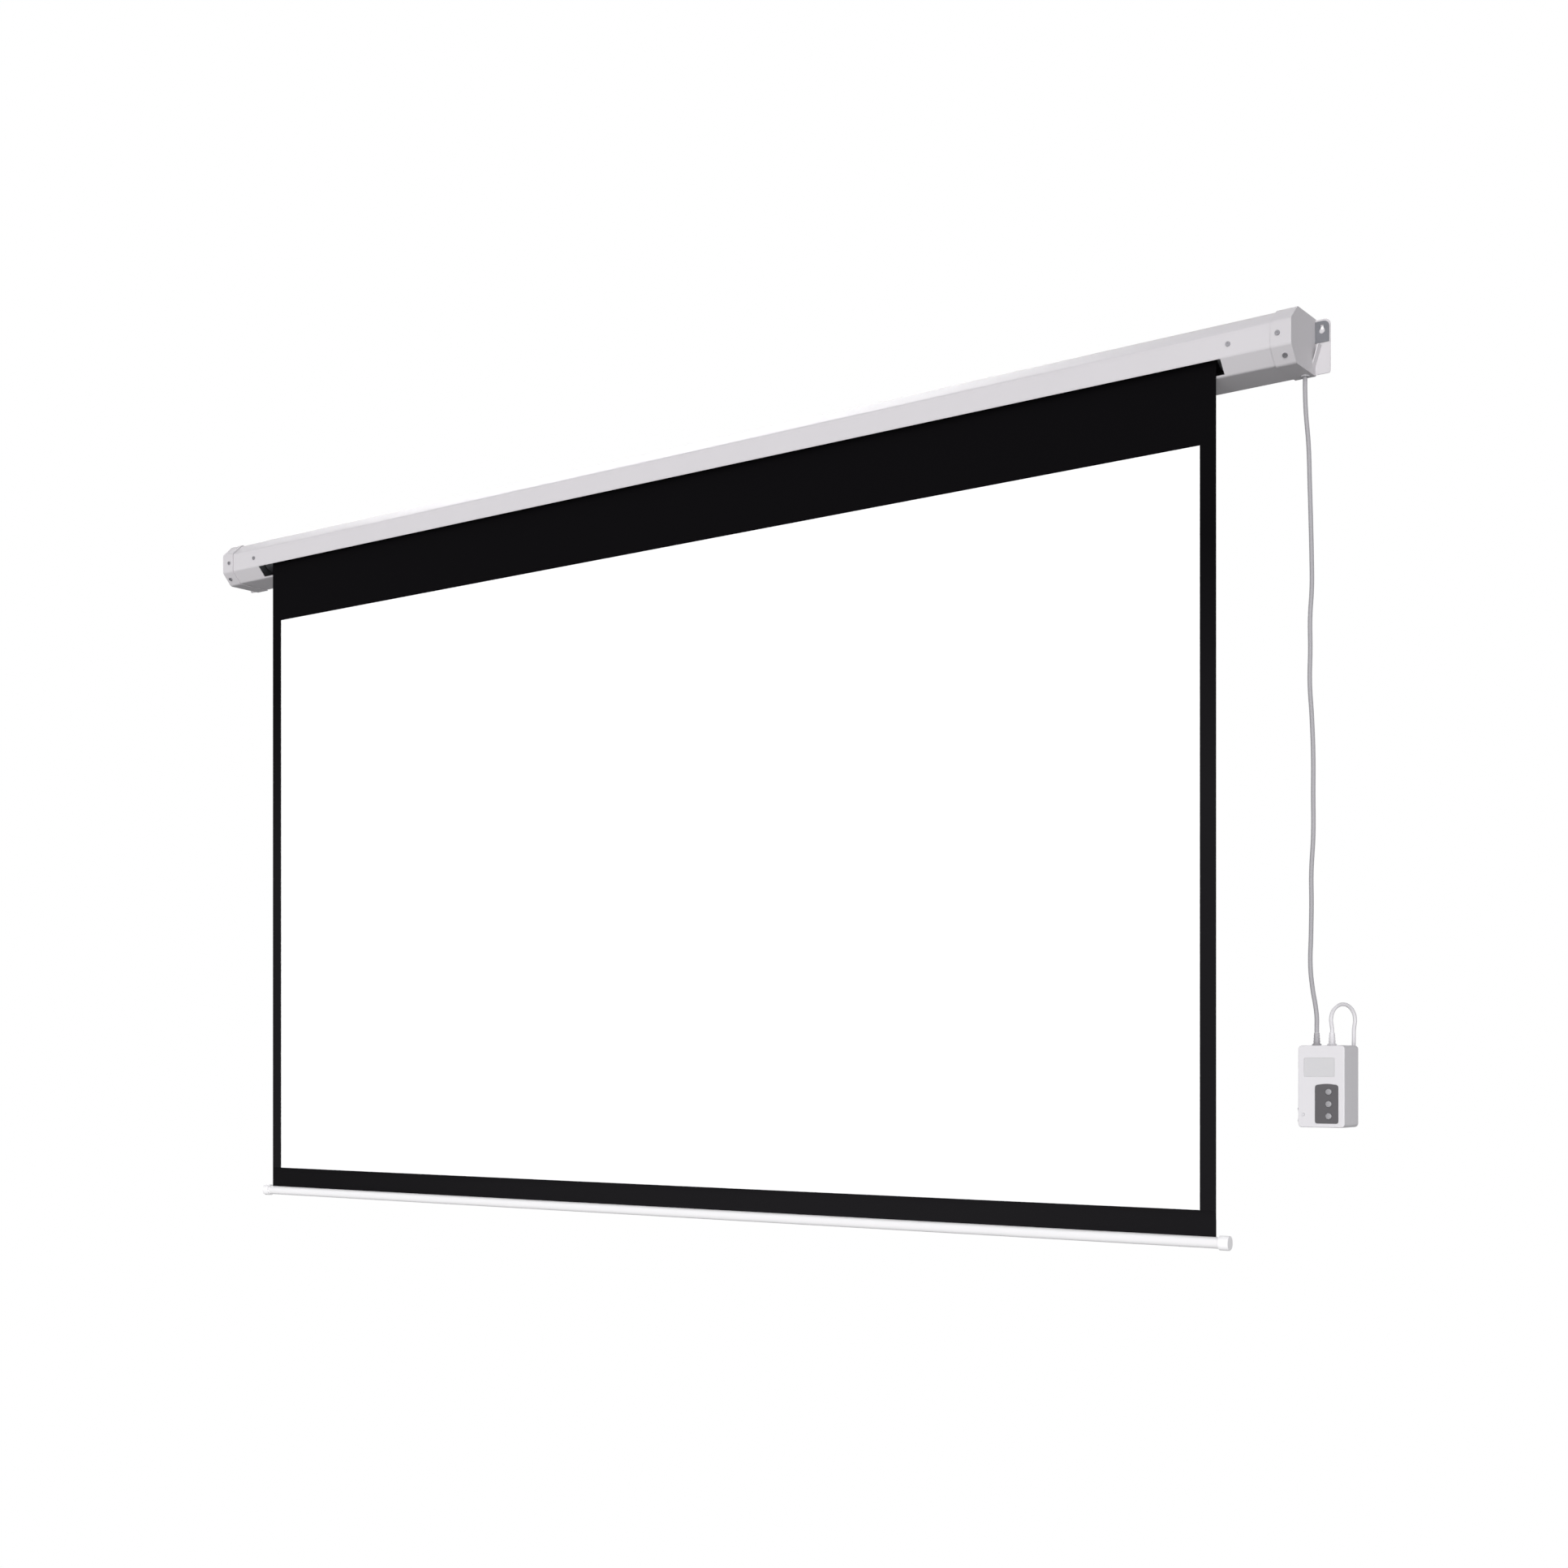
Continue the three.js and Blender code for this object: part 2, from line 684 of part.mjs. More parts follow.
// Roller: everything that turns about its own axis
const rollerGroup = groupAt(screen, 0, rollerY, 0);
const bore = roller.radius - roller.wall;
const rollerTube = tubeX(roller.radius, bore, rollerEndX.left, rollerEndX.right);
piece(rollerGroup, "roller_tube", rollerTube, finishes.aluminium);
const fabricEnds = [fabric.centreX - fabricWidth / 2, fabric.centreX + fabricWidth / 2];
const roll = tubeX(rollRadius, roller.radius + gap, ...fabricEnds);
piece(rollerGroup, "fabric_roll", roll, finishes.blackFabric);

// Idler plug with its ball bearing, in the roller's left end
const plugEndX = rollerEndX.left - gap;
const plugBody = join(
  rodX(roller.radius, plugEndX - plug.flange, plugEndX),
  rodX(bore - gap, plugEndX - plug.flange / 2, plugEndX + plug.insert),
);
const bearingSeat = rodX(
  bearing.radius + gap,
  plugEndX - plug.flange - overrun,
  plugEndX - plug.flange + plug.bearingDepth,
);
const plugBore = rodX(plug.bore, plugEndX - plug.flange - overrun, plugEndX + plug.insert + overrun);
piece(rollerGroup, "idler_plug", cut(plugBody, bearingSeat, plugBore), finishes.blackPlastic);
const bearingX = plugEndX - plug.flange + plug.bearingDepth - bearing.width - gap;
const bearingRing = tubeX(bearing.radius, bearing.bore, bearingX, bearingX + bearing.width, 32);
piece(rollerGroup, "idler_bearing", bearingRing, finishes.motorSteel);

// Limit crown and drive wheel, which carry and turn the roller round the motor
const crownX = rollerEndX.right + gap;
const crownBody = join(
  rodX(roller.radius, crownX, crownX + crown.flange),
  rodX(bore - gap, crownX - crown.insert, crownX + crown.flange / 2),
);
const crownBore = rodX(motor.radius + gap, crownX - crown.insert - overrun, crownX + crown.flange + overrun);
piece(rollerGroup, "limit_crown", cut(crownBody, crownBore), finishes.blackPlastic);

const motorEndX = crownX + crown.flange + gap;
const motorFarX = motorEndX - motor.length;
const shaftEndX = motorFarX - motor.shaftReach;
const wheelX = shaftEndX + gap;
const hexShaft = rodX(motor.shaftRadius, shaftEndX, motorFarX + motor.wall * 4, 6);
piece(rollerGroup, "output_shaft", hexShaft, finishes.motorSteel);

function wheel() {
  const x1 = wheelX + driveWheel.length;
  const rim = tubeX(bore - gap, bore - gap - driveWheel.rim, wheelX, x1);
  const hub = rodX(driveWheel.hubRadius, wheelX, x1);
  const webs = Array.from({ length: driveWheel.webCount }, (_, i) =>
    block(
      [wheelX, x1],
      [-driveWheel.webWidth / 2, driveWheel.webWidth / 2],
      [0, bore - gap - driveWheel.rim / 2],
    ).rotateX((2 * Math.PI * i) / driveWheel.webCount),
  );
  const hexBore = rodX(motor.shaftRadius + gap, wheelX - overrun, x1 + overrun, 6);
  return cut(join(rim, hub, ...webs), hexBore);
}

piece(rollerGroup, "drive_wheel", wheel(), finishes.blackPlastic);

// Tubular motor, fixed to the right bracket inside the roller
const motorGroup = groupAt(housingGroup, 0, rollerY, 0);
const motorBore = motor.radius - motor.wall;
const motorShell = cut(
  rodX(motor.radius, motorFarX, motorEndX),
  rodX(motorBore, motorFarX + motor.wall * 2, motorEndX + overrun),
  rodX(motor.shaftRadius + gap, motorFarX - overrun, motorEndX, 24),
);
piece(motorGroup, "motor_tube", motorShell, finishes.motorSteel);
const coreX = motorFarX + motor.wall * 2 + gap;
const headX = motorEndX + gap;
const motorCore = cut(
  rodX(motorBore - gap, coreX, headX - motor.neckLength - motor.coreEndRoom),
  rodX(motor.shaftRadius + gap, coreX - overrun, coreX + motor.wall * 2 + gap, 24),
);
piece(motorGroup, "motor_core", motorCore, finishes.zincSteel);

const headEndX = bracketX - gap;
const holesInHead = [
  ...motorScrewPlaces.map(([y, z]) =>
    rodX(motor.screwRadius + gap, headEndX - motor.screwReach, headEndX + overrun, 16)
      .translate(0, y - rollerY, z),
  ),
  ...limitScrewPlaces.map(([y, z]) =>
    rodX(limitScrew.radius + gap, headEndX - limitScrew.length, headEndX + overrun, 16)
      .translate(0, y - rollerY, z),
  ),
];
const leadSocket = rodX(lead.radius + gap, headEndX - motor.headLength / 2, headEndX + overrun, 20);
const headBody = join(
  rodX(motor.headRadius, headX, headEndX),
  rodX(motorBore - gap, headX - motor.neckLength, headX + motor.headLength / 4),
);
piece(motorGroup, "motor_head", cut(headBody, leadSocket, ...holesInHead), finishes.blackPlastic);

motorScrewPlaces.forEach(([y, z], i) => {
  const seat = bracketX + bracket.thickness + gap;
  const shank = rodX(motor.screwRadius, headEndX - motor.screwReach + gap, seat + gap, 16);
  const head = rodX(motor.screwHeadRadius, seat, seat + motor.screwHeadHeight, 20);
  const mesh = piece(motorGroup, `motor_screw_${i + 1}`, join(shank, head), finishes.zincSteel);
  mesh.position.set(0, y - rollerY, z);
});

limitScrewPlaces.forEach(([y, z], i) => {
  const x0 = headEndX - limitScrew.length + gap;
  const x1 = bracketX + bracket.thickness + gap;
  const driverSlot = block(
    [x1 - limitScrew.slotDepth, x1 + overrun],
    [-limitScrew.slotWidth / 2, limitScrew.slotWidth / 2],
    [-limitScrew.radius - overrun, limitScrew.radius + overrun],
  );
  const screw = cut(rodX(limitScrew.radius, x0, x1, 20), driverSlot);
  const mesh = piece(motorGroup, `limit_screw_${["upper", "lower"][i]}`, screw, finishes.brass);
  mesh.position.set(0, y - rollerY, z);
});

// Motor lead inside the housing, from the motor head to the grommet under the end cap
const leadStartX = headEndX - motor.headLength / 2 + gap;
const grommetTopZ = -half + housing.wall + grommet.rise;
const pastBracket = [
  [12, 0, 0],
  [32, 2, -1],
  [56, 14, -5],
];
const beforeExit = [
  [-30, -14, -9],
  [-11, -4, -15],
  [-2, -0.5, -25],
  [0, 0, -33],
  [0, 0, -41],
];
const innerRoute = [
  [leadStartX, rollerY, 0],
  ...pastBracket.map(([x, y, z]) => [bracketX + x, rollerY + y, z]),
  ...beforeExit.map(([x, y, z]) => [exitX + x, exitY + y, z]),
  [exitX, exitY, -half - capReach - gap - grommet.flangeHeight],
];
const innerCord = cordAlong(innerRoute, lead.radius, lead.sides, innerLead.steps);
piece(housingGroup, "motor_lead_inner", innerCord, finishes.leadGrey);

const grommetFootZ = -half - capReach - gap - grommet.flangeHeight;
const grommetBody = cut(
  join(
    rodZ(grommet.flangeRadius, grommetFootZ, grommetFootZ + grommet.flangeHeight),
    rodZ(neckRadius, grommetFootZ + grommet.flangeHeight / 2, grommetTopZ),
  ),
  rodZ(lead.radius + gap, grommetFootZ - overrun, grommetTopZ + overrun),
);
piece(housingGroup, "lead_grommet", grommetBody, finishes.leadGrey).position.set(exitX, exitY, 0);

// Screen fabric: the hanging sheet, and the hem border that moves with the bar
const sheetThickness = [fabricBackY - fabric.thickness, fabricBackY];
const sheet = block(fabricEnds, sheetThickness, [hemTopZ + gap / 2, 0]);
piece(screen, "fabric_sheet", sheet, finishes.whiteFabric);

const barGroup = groupAt(screen, fabric.centreX, fabricMidY, barCentreZ);
const barHalf = fabricWidth / 2 + bar.endMargin;
const barRadius = bar.depth / 2;
const hemLoop = bar.splineRadius + gap + fabric.thickness;
const splineZ = bar.height / 2 - bar.wall - gap - hemLoop;
const hemStrip = block(
  [-fabricWidth / 2, fabricWidth / 2],
  [-fabric.thickness / 2, fabric.thickness / 2],
  [splineZ + bar.splineRadius + gap, hemTopZ - barCentreZ - gap / 2],
);
const hemEnds = [-fabricWidth / 2, fabricWidth / 2];
const hemTube = tubeX(hemLoop, bar.splineRadius + gap, ...hemEnds, 20).translate(0, 0, splineZ);
const hemBore = rodX(bar.splineRadius + gap, hemEnds[0] - overrun, hemEnds[1] + overrun, 20)
  .translate(0, 0, splineZ);
piece(barGroup, "fabric_hem", cut(join(hemStrip, hemTube), hemBore), finishes.blackFabric);
piece(barGroup, "hem_spline", rodX(bar.splineRadius, ...hemEnds, 16), finishes.boxWhite).position.z = splineZ;

// Bottom bar: an oval tube with a slit along its top, a steel weight, and two caps pushed over its ends
function ovalShape(inset) {
  const straight = bar.height / 2 - barRadius;
  const radius = barRadius - inset;
  const shape = new THREE.Shape();
  shape.absarc(0, straight, radius, 0, Math.PI);
  shape.absarc(0, -straight, radius, Math.PI, 2 * Math.PI);
  return shape;
}

function ovalAlongX(inset, x0, x1) {
  const along = { depth: x1 - x0, bevelEnabled: false, curveSegments: 6 };
  return new THREE.ExtrudeGeometry(ovalShape(inset), along)
    .translate(0, 0, x0)
    .applyMatrix4(alongX);
}

const barEnds = [-barHalf + bar.capWall, barHalf - bar.capWall];
const throughBar = [barEnds[0] - overrun, barEnds[1] + overrun];
const slit = block(throughBar, [-bar.slit / 2, bar.slit / 2], [bar.height / 4, bar.height]);
const barTube = cut(ovalAlongX(0, ...barEnds), ovalAlongX(bar.wall, ...throughBar), slit);
piece(barGroup, "bottom_bar", barTube, finishes.barWhite);
const weightEnds = [barEnds[0] + bar.capInsert + gap, barEnds[1] - bar.capInsert - gap];
const weightZ = -bar.height / 2 + bar.wall + gap + bar.weightRadius;
const weight = rodX(bar.weightRadius, ...weightEnds, 20);
piece(barGroup, "bar_weight", weight, finishes.zincSteel).position.z = weightZ;

function barCap() {
  const outline = ovalShape(bar.capBevel - bar.capOver);
  const wallFrom = barHalf - bar.capWall;
  const mouth = wallFrom - bar.capSleeve;
  const outside = new THREE.ExtrudeGeometry(outline, {
    depth: bar.capSleeve + bar.capWall,
    bevelThickness: bar.capBevel,
    bevelSize: bar.capBevel,
    bevelSegments: 2,
    curveSegments: 6,
  })
    .applyMatrix4(alongX)
    .translate(mouth - bar.capBevel, 0, 0);
  const keep = block([mouth, barHalf + overrun], [-bar.depth, bar.depth], [-bar.height, bar.height]);
  const bore = ovalAlongX(-gap, mouth - overrun, wallFrom + gap);
  const insert = ovalAlongX(bar.wall + gap, wallFrom - bar.capInsert, wallFrom + 2 * gap);
  return join(cut(overlap(outside, keep), bore), insert);
}

piece(barGroup, "bar_cap_left", mirrored(barCap()), finishes.barWhite);
piece(barGroup, "bar_cap_right", barCap(), finishes.barWhite);

// What hangs under the lead's exit and moves along the wall with it
const controlGroup = groupAt(screen, exitX, 0, 0);

// Control box: x, y and z from its middle
const boxGroup = groupAt(
  controlGroup,
  box.fromExit,
  -box.fromWall - box.depth / 2,
  box.topZ - box.height / 2,
);
const boxHalf = { x: box.width / 2, y: box.depth / 2, z: box.height / 2 };
const seamY = -boxHalf.y + box.coverDepth;

// A block with rounded corners seen from the room, and eased front and back edges
function easedBlock(inset) {
  const edge = Math.max(box.edgeRadius - inset, box.edgeRadius / 4);
  const x = boxHalf.x - inset - edge;
  const z = boxHalf.z - inset - edge;
  const corner = Math.max(box.cornerRadius - inset - edge, edge);
  const shape = roundedShape(rectangle([-x, x], [-z, z]), [corner, corner, corner, corner]);
  const depth = box.depth - 2 * inset - 2 * edge;
  return new THREE.ExtrudeGeometry(shape, { depth, bevelThickness: edge, bevelSize: edge, bevelSegments: 2 })
    .translate(0, 0, -depth / 2)
    .applyMatrix4(towardRoom);
}

const boxShell = cut(easedBlock(0), easedBlock(box.wall));
const wide = [-box.width, box.width];
const tall = [-box.height, box.height];
const glands = [
  { name: "motor_strain_relief", x: box.motorGlandX, cordRadius: lead.radius },
  { name: "mains_strain_relief", x: box.mainsGlandX, cordRadius: mains.radius },
];
const glandHoles = glands.map(({ x }) =>
  rodZ(relief.radius + gap, boxHalf.z - box.wall - overrun, boxHalf.z + overrun).translate(x, 0, 0),
);

// The blank label plate's outline
function labelShape(inset) {
  const x0 = -boxHalf.x + label.left;
  const z0 = -boxHalf.z + panel.bottom + panel.height + label.panelMargin;
  const corners = rectangle(
    [x0 + inset, x0 + label.width - inset],
    [z0 + inset, boxHalf.z - label.top - inset],
  );
  return roundedShape(corners, corners.map(() => label.cornerRadius));
}

const panelRight = boxHalf.x - panel.right;
const panelBottom = -boxHalf.z + panel.bottom;

// The button panel's outline, straight at its foot and arched at its top
function panelShape(inset) {
  const [x0, x1] = [panelRight - panel.width + inset, panelRight - inset];
  const [z0, z1] = [panelBottom + inset, panelBottom + panel.height - inset];
  const foot = panel.footRadius;
  const shape = new THREE.Shape();
  shape.moveTo(x0 + foot, z0);
  shape.lineTo(x1 - foot, z0);
  shape.quadraticCurveTo(x1, z0, x1, z0 + foot);
  shape.lineTo(x1, z1 - panel.archRise);
  shape.quadraticCurveTo(x1, z1 - panel.archRise / 3, x1 - panel.archRise, z1 - panel.archRise / 3);
  shape.quadraticCurveTo((x0 + x1) / 2, z1, x0 + panel.archRise, z1 - panel.archRise / 3);
  shape.quadraticCurveTo(x0, z1 - panel.archRise / 3, x0, z1 - panel.archRise);
  shape.lineTo(x0, z0 + foot);
  shape.quadraticCurveTo(x0, z0, x0 + foot, z0);
  return shape;
}

const buttonX = boxHalf.x - button.right;
const buttonZs = [0, 1, 2].map((i) => -boxHalf.z + button.lowestZ + i * button.pitch);
const lampPlace = [-boxHalf.x + lamp.left, -boxHalf.z + lamp.lowZ];
const screwZs = [boxHalf.z - boxScrew.inset, -boxHalf.z + boxScrew.inset];
const frontIn = -boxHalf.y + box.wall; // inner face of the cover's front

function coverShell() {
  const front = -boxHalf.y;
  const half = overlap(boxShell, block(wide, [-box.depth, seamY - gap / 2], tall));
  const recess = drawnTowardRoom(panelShape(0), front + panel.sink, front - overrun);
  const labelRecess = drawnTowardRoom(labelShape(0), front + label.sink, front - overrun);
  const through = [front - overrun, frontIn + overrun];
  const buttonHoles = buttonZs.map((z) => rodY(button.radius + gap, ...through).translate(buttonX, 0, z));
  const lampHole = rodY(lamp.radius + gap, ...through).translate(lampPlace[0], 0, lampPlace[1]);
  const post = cut(
    rodY(boxScrew.headRadius, frontIn - box.wall / 2, seamY - gap / 2),
    rodY(boxScrew.radius + gap, -boxHalf.y, boxHalf.y, 16),
  );
  const posts = screwZs.map((z) => post.clone().translate(0, 0, z));
  const guarded = posts.map((post) => overlap(post, block(wide, [frontIn - box.wall / 2, seamY], tall)));
  return join(cut(half, recess, labelRecess, lampHole, ...buttonHoles, ...glandHoles), ...guarded);
}

function backShell() {
  const half = overlap(boxShell, block(wide, [seamY + gap / 2, box.depth], tall));
  const back = boxHalf.y;
  const atScrews = (rod) => screwZs.map((z) => rod.clone().translate(0, 0, z));
  const posts = atScrews(rodY(boxScrew.headRadius + box.wall, seamY + gap / 2, back - box.wall / 2));
  const wells = atScrews(
    rodY(boxScrew.headRadius + gap, back - box.wall - boxScrew.headHeight, back + overrun),
  );
  const bores = atScrews(rodY(boxScrew.radius + gap, seamY - overrun, back + overrun, 16));
  return cut(join(half, ...posts), ...wells, ...bores, ...glandHoles);
}

piece(boxGroup, "box_cover", coverShell(), finishes.boxWhite);
piece(boxGroup, "box_back", backShell(), finishes.boxWhite);

screwZs.forEach((z, i) => {
  const seat = boxHalf.y - box.wall - boxScrew.headHeight - gap;
  const head = rodY(boxScrew.headRadius, seat + 2 * gap, seat + 2 * gap + boxScrew.headHeight, 20);
  const shank = rodY(boxScrew.radius, seat - boxScrew.length + boxScrew.headHeight, seat + 3 * gap, 16);
  const name = `box_screw_${["upper", "lower"][i]}`;
  piece(boxGroup, name, join(head, shank), finishes.darkScrew).position.z = z;
});

// Blank label plate, laid in its recess
const labelFrontY = -boxHalf.y + label.sink - gap - label.thickness;
const labelBody = drawnTowardRoom(labelShape(gap), labelFrontY + label.thickness, labelFrontY);
piece(boxGroup, "label_plate", labelBody, finishes.labelGrey);

// Button panel and the three push buttons
const panelFrontY = -boxHalf.y + panel.sink - gap - panel.thickness;
const pad = cut(
  drawnTowardRoom(panelShape(gap), panelFrontY + panel.thickness, panelFrontY),
  ...buttonZs.map((z) => rodY(button.radius + gap, panelFrontY - overrun, overrun).translate(buttonX, 0, z)),
);
piece(boxGroup, "button_panel", pad, finishes.panelGrey);

const boardY = seamY - board.thickness - gap * 2;
const switchFrontY = boardY - board.switchHeight;
const buttonBackY = switchFrontY - button.travel - 2 * gap;

function pushButton() {
  const front = panelFrontY - button.proud;
  const [innerShare, outerShare] = button.domeRadiusShares;
  const [innerDrop, outerDrop, edgeDrop] = button.domeDropShares;
  const dome = new THREE.LatheGeometry(
    [
      [0, 0],
      [button.radius * innerShare, button.proud * innerDrop],
      [button.radius * outerShare, button.proud * outerDrop],
      [button.radius, button.proud * edgeDrop],
      [button.radius, frontIn + gap - front],
      [button.flangeRadius, frontIn + gap - front],
      [button.flangeRadius, frontIn + gap + button.flangeThickness - front],
      [button.stemRadius, frontIn + gap + button.flangeThickness - front],
      [button.stemRadius, buttonBackY - front],
      [0, buttonBackY - front],
    ].map(([r, y]) => new THREE.Vector2(r, y)),
    20,
  );
  return dome.translate(0, front, 0);
}

["down", "stop", "up"].forEach((word, i) => {
  const mesh = piece(boxGroup, `button_${word}`, pushButton(), finishes.buttonGrey);
  mesh.position.set(buttonX, 0, buttonZs[i]);
});

// Indicator lamp
const lampBody = join(
  rodY(lamp.radius, -boxHalf.y - lamp.proud, frontIn + lamp.bodyLength, 20),
  rodY(lamp.rimRadius, frontIn + gap, frontIn + gap + lamp.rim, 20),
);
piece(boxGroup, "indicator_lamp", lampBody, finishes.lampGrey).position.set(lampPlace[0], 0, lampPlace[1]);

// Circuit board with the three switches soldered on, its terminal block and its relays
const boardHalf = { x: boxHalf.x - box.wall - board.margin, z: boxHalf.z - box.wall - board.margin };
const boardPlate = cut(
  block([-boardHalf.x, boardHalf.x], [boardY, boardY + board.thickness], [-boardHalf.z, boardHalf.z]),
  ...screwZs.map((z) =>
    rodY(boxScrew.headRadius + 2 * gap, boardY - overrun, boardY + board.thickness + overrun)
      .translate(0, 0, z),
  ),
);
const switches = buttonZs.map((z) =>
  block(
    [buttonX - board.switchSide / 2, buttonX + board.switchSide / 2],
    [switchFrontY, boardY + board.thickness / 2],
    [z - board.switchSide / 2, z + board.switchSide / 2],
  ),
);
piece(boxGroup, "circuit_board", join(boardPlate, ...switches), finishes.boardGreen);

const behindBoard = boardY + board.thickness + gap;
const terminalTop = boxHalf.z - terminal.dropFromTop;
const polePitch = terminal.width / terminal.poles;
const terminalBack = behindBoard + terminal.depth;
const terminalScrew = rodY(
  terminal.screwRadius,
  terminalBack - terminal.screwDepth,
  terminalBack + overrun,
  12,
);
const terminalBody = cut(
  block(
    [-terminal.width / 2, terminal.width / 2],
    [behindBoard, terminalBack],
    [terminalTop - terminal.height, terminalTop],
  ),
  ...Array.from({ length: terminal.poles }, (_, i) =>
    terminalScrew
      .clone()
      .translate((i + 0.5) * polePitch - terminal.width / 2, 0, terminalTop - terminal.height / 2),
  ),
);
const terminalMesh = piece(boxGroup, "terminal_block", terminalBody, finishes.boardGreen);
terminalMesh.position.z = -terminal.height;
["up", "down"].forEach((word, i) => {
  const x = (i - 0.5) * relay.pitch;
  const top = boxHalf.z - relay.dropFromTop - terminal.height;
  const body = block(
    [-relay.width / 2, relay.width / 2],
    [behindBoard, behindBoard + relay.depth],
    [top - relay.height, top],
  );
  piece(boxGroup, `relay_${word}`, body, finishes.relayBlue).position.x = x;
});

// Strain reliefs in the top of the box
function strainRelief() {
  const tipZ = boxHalf.z + relief.rise;
  const steps = relief.ribs * 2;
  const taper = Array.from({ length: steps + 1 }, (_, i) => {
    const t = i / steps;
    const r = relief.radius + (relief.tipRadius - relief.radius) * t - (i % 2) * relief.ribDepth;
    return [r, boxHalf.z + relief.collar + gap + t * (tipZ - boxHalf.z - relief.collar - gap)];
  });
  const outline = [
    [0, boxHalf.z - relief.insert],
    [relief.radius, boxHalf.z - relief.insert],
    [relief.radius, boxHalf.z + gap],
    [relief.collarRadius, boxHalf.z + gap],
    [relief.collarRadius, boxHalf.z + gap + relief.collar],
    ...taper,
    [0, tipZ],
  ];
  return new THREE.LatheGeometry(
    outline.map(([r, z]) => new THREE.Vector2(r, z)),
    16,
  ).rotateX(Math.PI / 2);
}

for (const { name, x } of glands) {
  const finishOf = name.startsWith("motor") ? finishes.leadGrey : finishes.boxWhite;
  piece(boxGroup, name, strainRelief(), finishOf).position.x = x;
}

// Free motor lead, hanging from the grommet down to the control box
const leadRoute = [
  [0, -16, -48.8],
  [0, -16, -70],
  [1, -16, -100],
  [6.3, -17.5, -160],
  [9.3, -20, -225],
  [12.3, -23, -290],
  [14.3, -25, -345],
  [15.3, -27, -390],
  [13.3, -29, -440],
  [14.3, -31, -490],
  [14.3, -33, -545],
  [18.3, -35, -600],
  [21.3, -37, -660],
  [22.3, -39.5, -725],
  [23.3, -42, -790],
  [21, -44, -850],
  [22, -46, -900],
  [22, -48, -950],
  [22, -50.5, -1000],
  [27, -53.5, -1038],
  [32, -55.5, -1062],
  [34.8, -57, -1082],
  [34.8, -57, -1096],
  [34.8, -57, -1105.7],
];
const freeLead = cordAlong(leadRoute, lead.radius, lead.sides, lead.steps);
piece(controlGroup, "motor_lead", freeLead, finishes.leadGrey);

// Mains lead: up from the box, over and down behind it into a tied coil, then to its plug
const coilX = box.fromExit + coil.centreX;
const coilY = -coil.fromWall;
const coilZ = box.topZ - coil.dropFromTop;
const coilOuter = coil.midRadius + (coil.turns * coil.spacing) / 4;
const coilLayers = [coilY - coil.spacing / 2, coilY + coil.spacing / 2];

// Clockwise turns seen from the room: spiralling in, a half turn's climb, then spiralling out
function coilPoint(t) {
  const turn = t * coil.turns;
  const middle = coil.turns / 2;
  const radius = coilOuter - (middle - Math.abs(turn - middle)) * coil.spacing;
  const halfClimb = coil.climbTurnShare / 2;
  const climb = THREE.MathUtils.smoothstep(turn, middle - halfClimb, middle + halfClimb);
  const angle = -turn * 2 * Math.PI;
  return new THREE.Vector3(
    coilX + radius * Math.cos(angle),
    coilLayers[0] + (coilLayers[1] - coilLayers[0]) * climb,
    coilZ + radius * Math.sin(angle),
  );
}

const coilSteps = coil.turns * coil.stepsPerTurn;
const coilPoints = Array.from({ length: coilSteps + 1 }, (_, i) => coilPoint(i / coilSteps));

// A tube of rings carried along a list of points, straight for one diameter at each end
function woundTube(points, radius, ringSides) {
  const diameter = 2 * radius;
  const first = points[0].clone().add(new THREE.Vector3(0, 0, diameter));
  const last = points.at(-1).clone().add(new THREE.Vector3(0, 0, -diameter));
  const path = [first, ...points, last];
  const axis = new THREE.Vector3(0, 1, 0);
  const vertices = [];
  path.forEach((p, i) => {
    const ahead = path[Math.min(i + 1, path.length - 1)].clone().sub(path[Math.max(i - 1, 0)]);
    if (i === 0 || i === path.length - 1) ahead.set(0, 0, -1);
    ahead.normalize();
    const across = axis.clone().cross(ahead).normalize();
    const up = ahead.clone().cross(across);
    for (let k = 0; k < ringSides; k++) {
      const a = (2 * Math.PI * k) / ringSides;
      const v = p.clone()
        .addScaledVector(across, radius * Math.cos(a))
        .addScaledVector(up, radius * Math.sin(a));
      vertices.push(...v.toArray());
    }
  });
  const faces = [];
  const at = (ring, k) => ring * ringSides + (k % ringSides);
  for (let ring = 0; ring + 1 < path.length; ring++)
    for (let k = 0; k < ringSides; k++) {
      faces.push(at(ring, k), at(ring, k + 1), at(ring + 1, k));
      faces.push(at(ring, k + 1), at(ring + 1, k + 1), at(ring + 1, k));
    }
  for (let k = 1; k + 1 < ringSides; k++) {
    faces.push(at(0, 0), at(0, k + 1), at(0, k));
    faces.push(at(path.length - 1, 0), at(path.length - 1, k), at(path.length - 1, k + 1));
  }
  const geometry = new THREE.BufferGeometry();
  geometry.setAttribute("position", new THREE.Float32BufferAttribute(vertices, 3));
  geometry.setIndex(faces);
  return geometry;
}

// The least gap between two stretches of the coil that lie half a turn or more apart
function leastGap(points, radius) {
  let least = Infinity;
  points.forEach((p, i) => {
    for (let j = i + coil.stepsPerTurn / 2; j < points.length; j++) {
      least = Math.min(least, p.distanceTo(points[j]) - 2 * radius);
    }
  });
  return least;
}

console.log(`mains coil: least gap between turns ${leastGap(coilPoints, mains.radius).toFixed(2)} mm`);
piece(controlGroup, "mains_coil", woundTube(coilPoints, mains.radius, coil.sides), finishes.boxWhite);

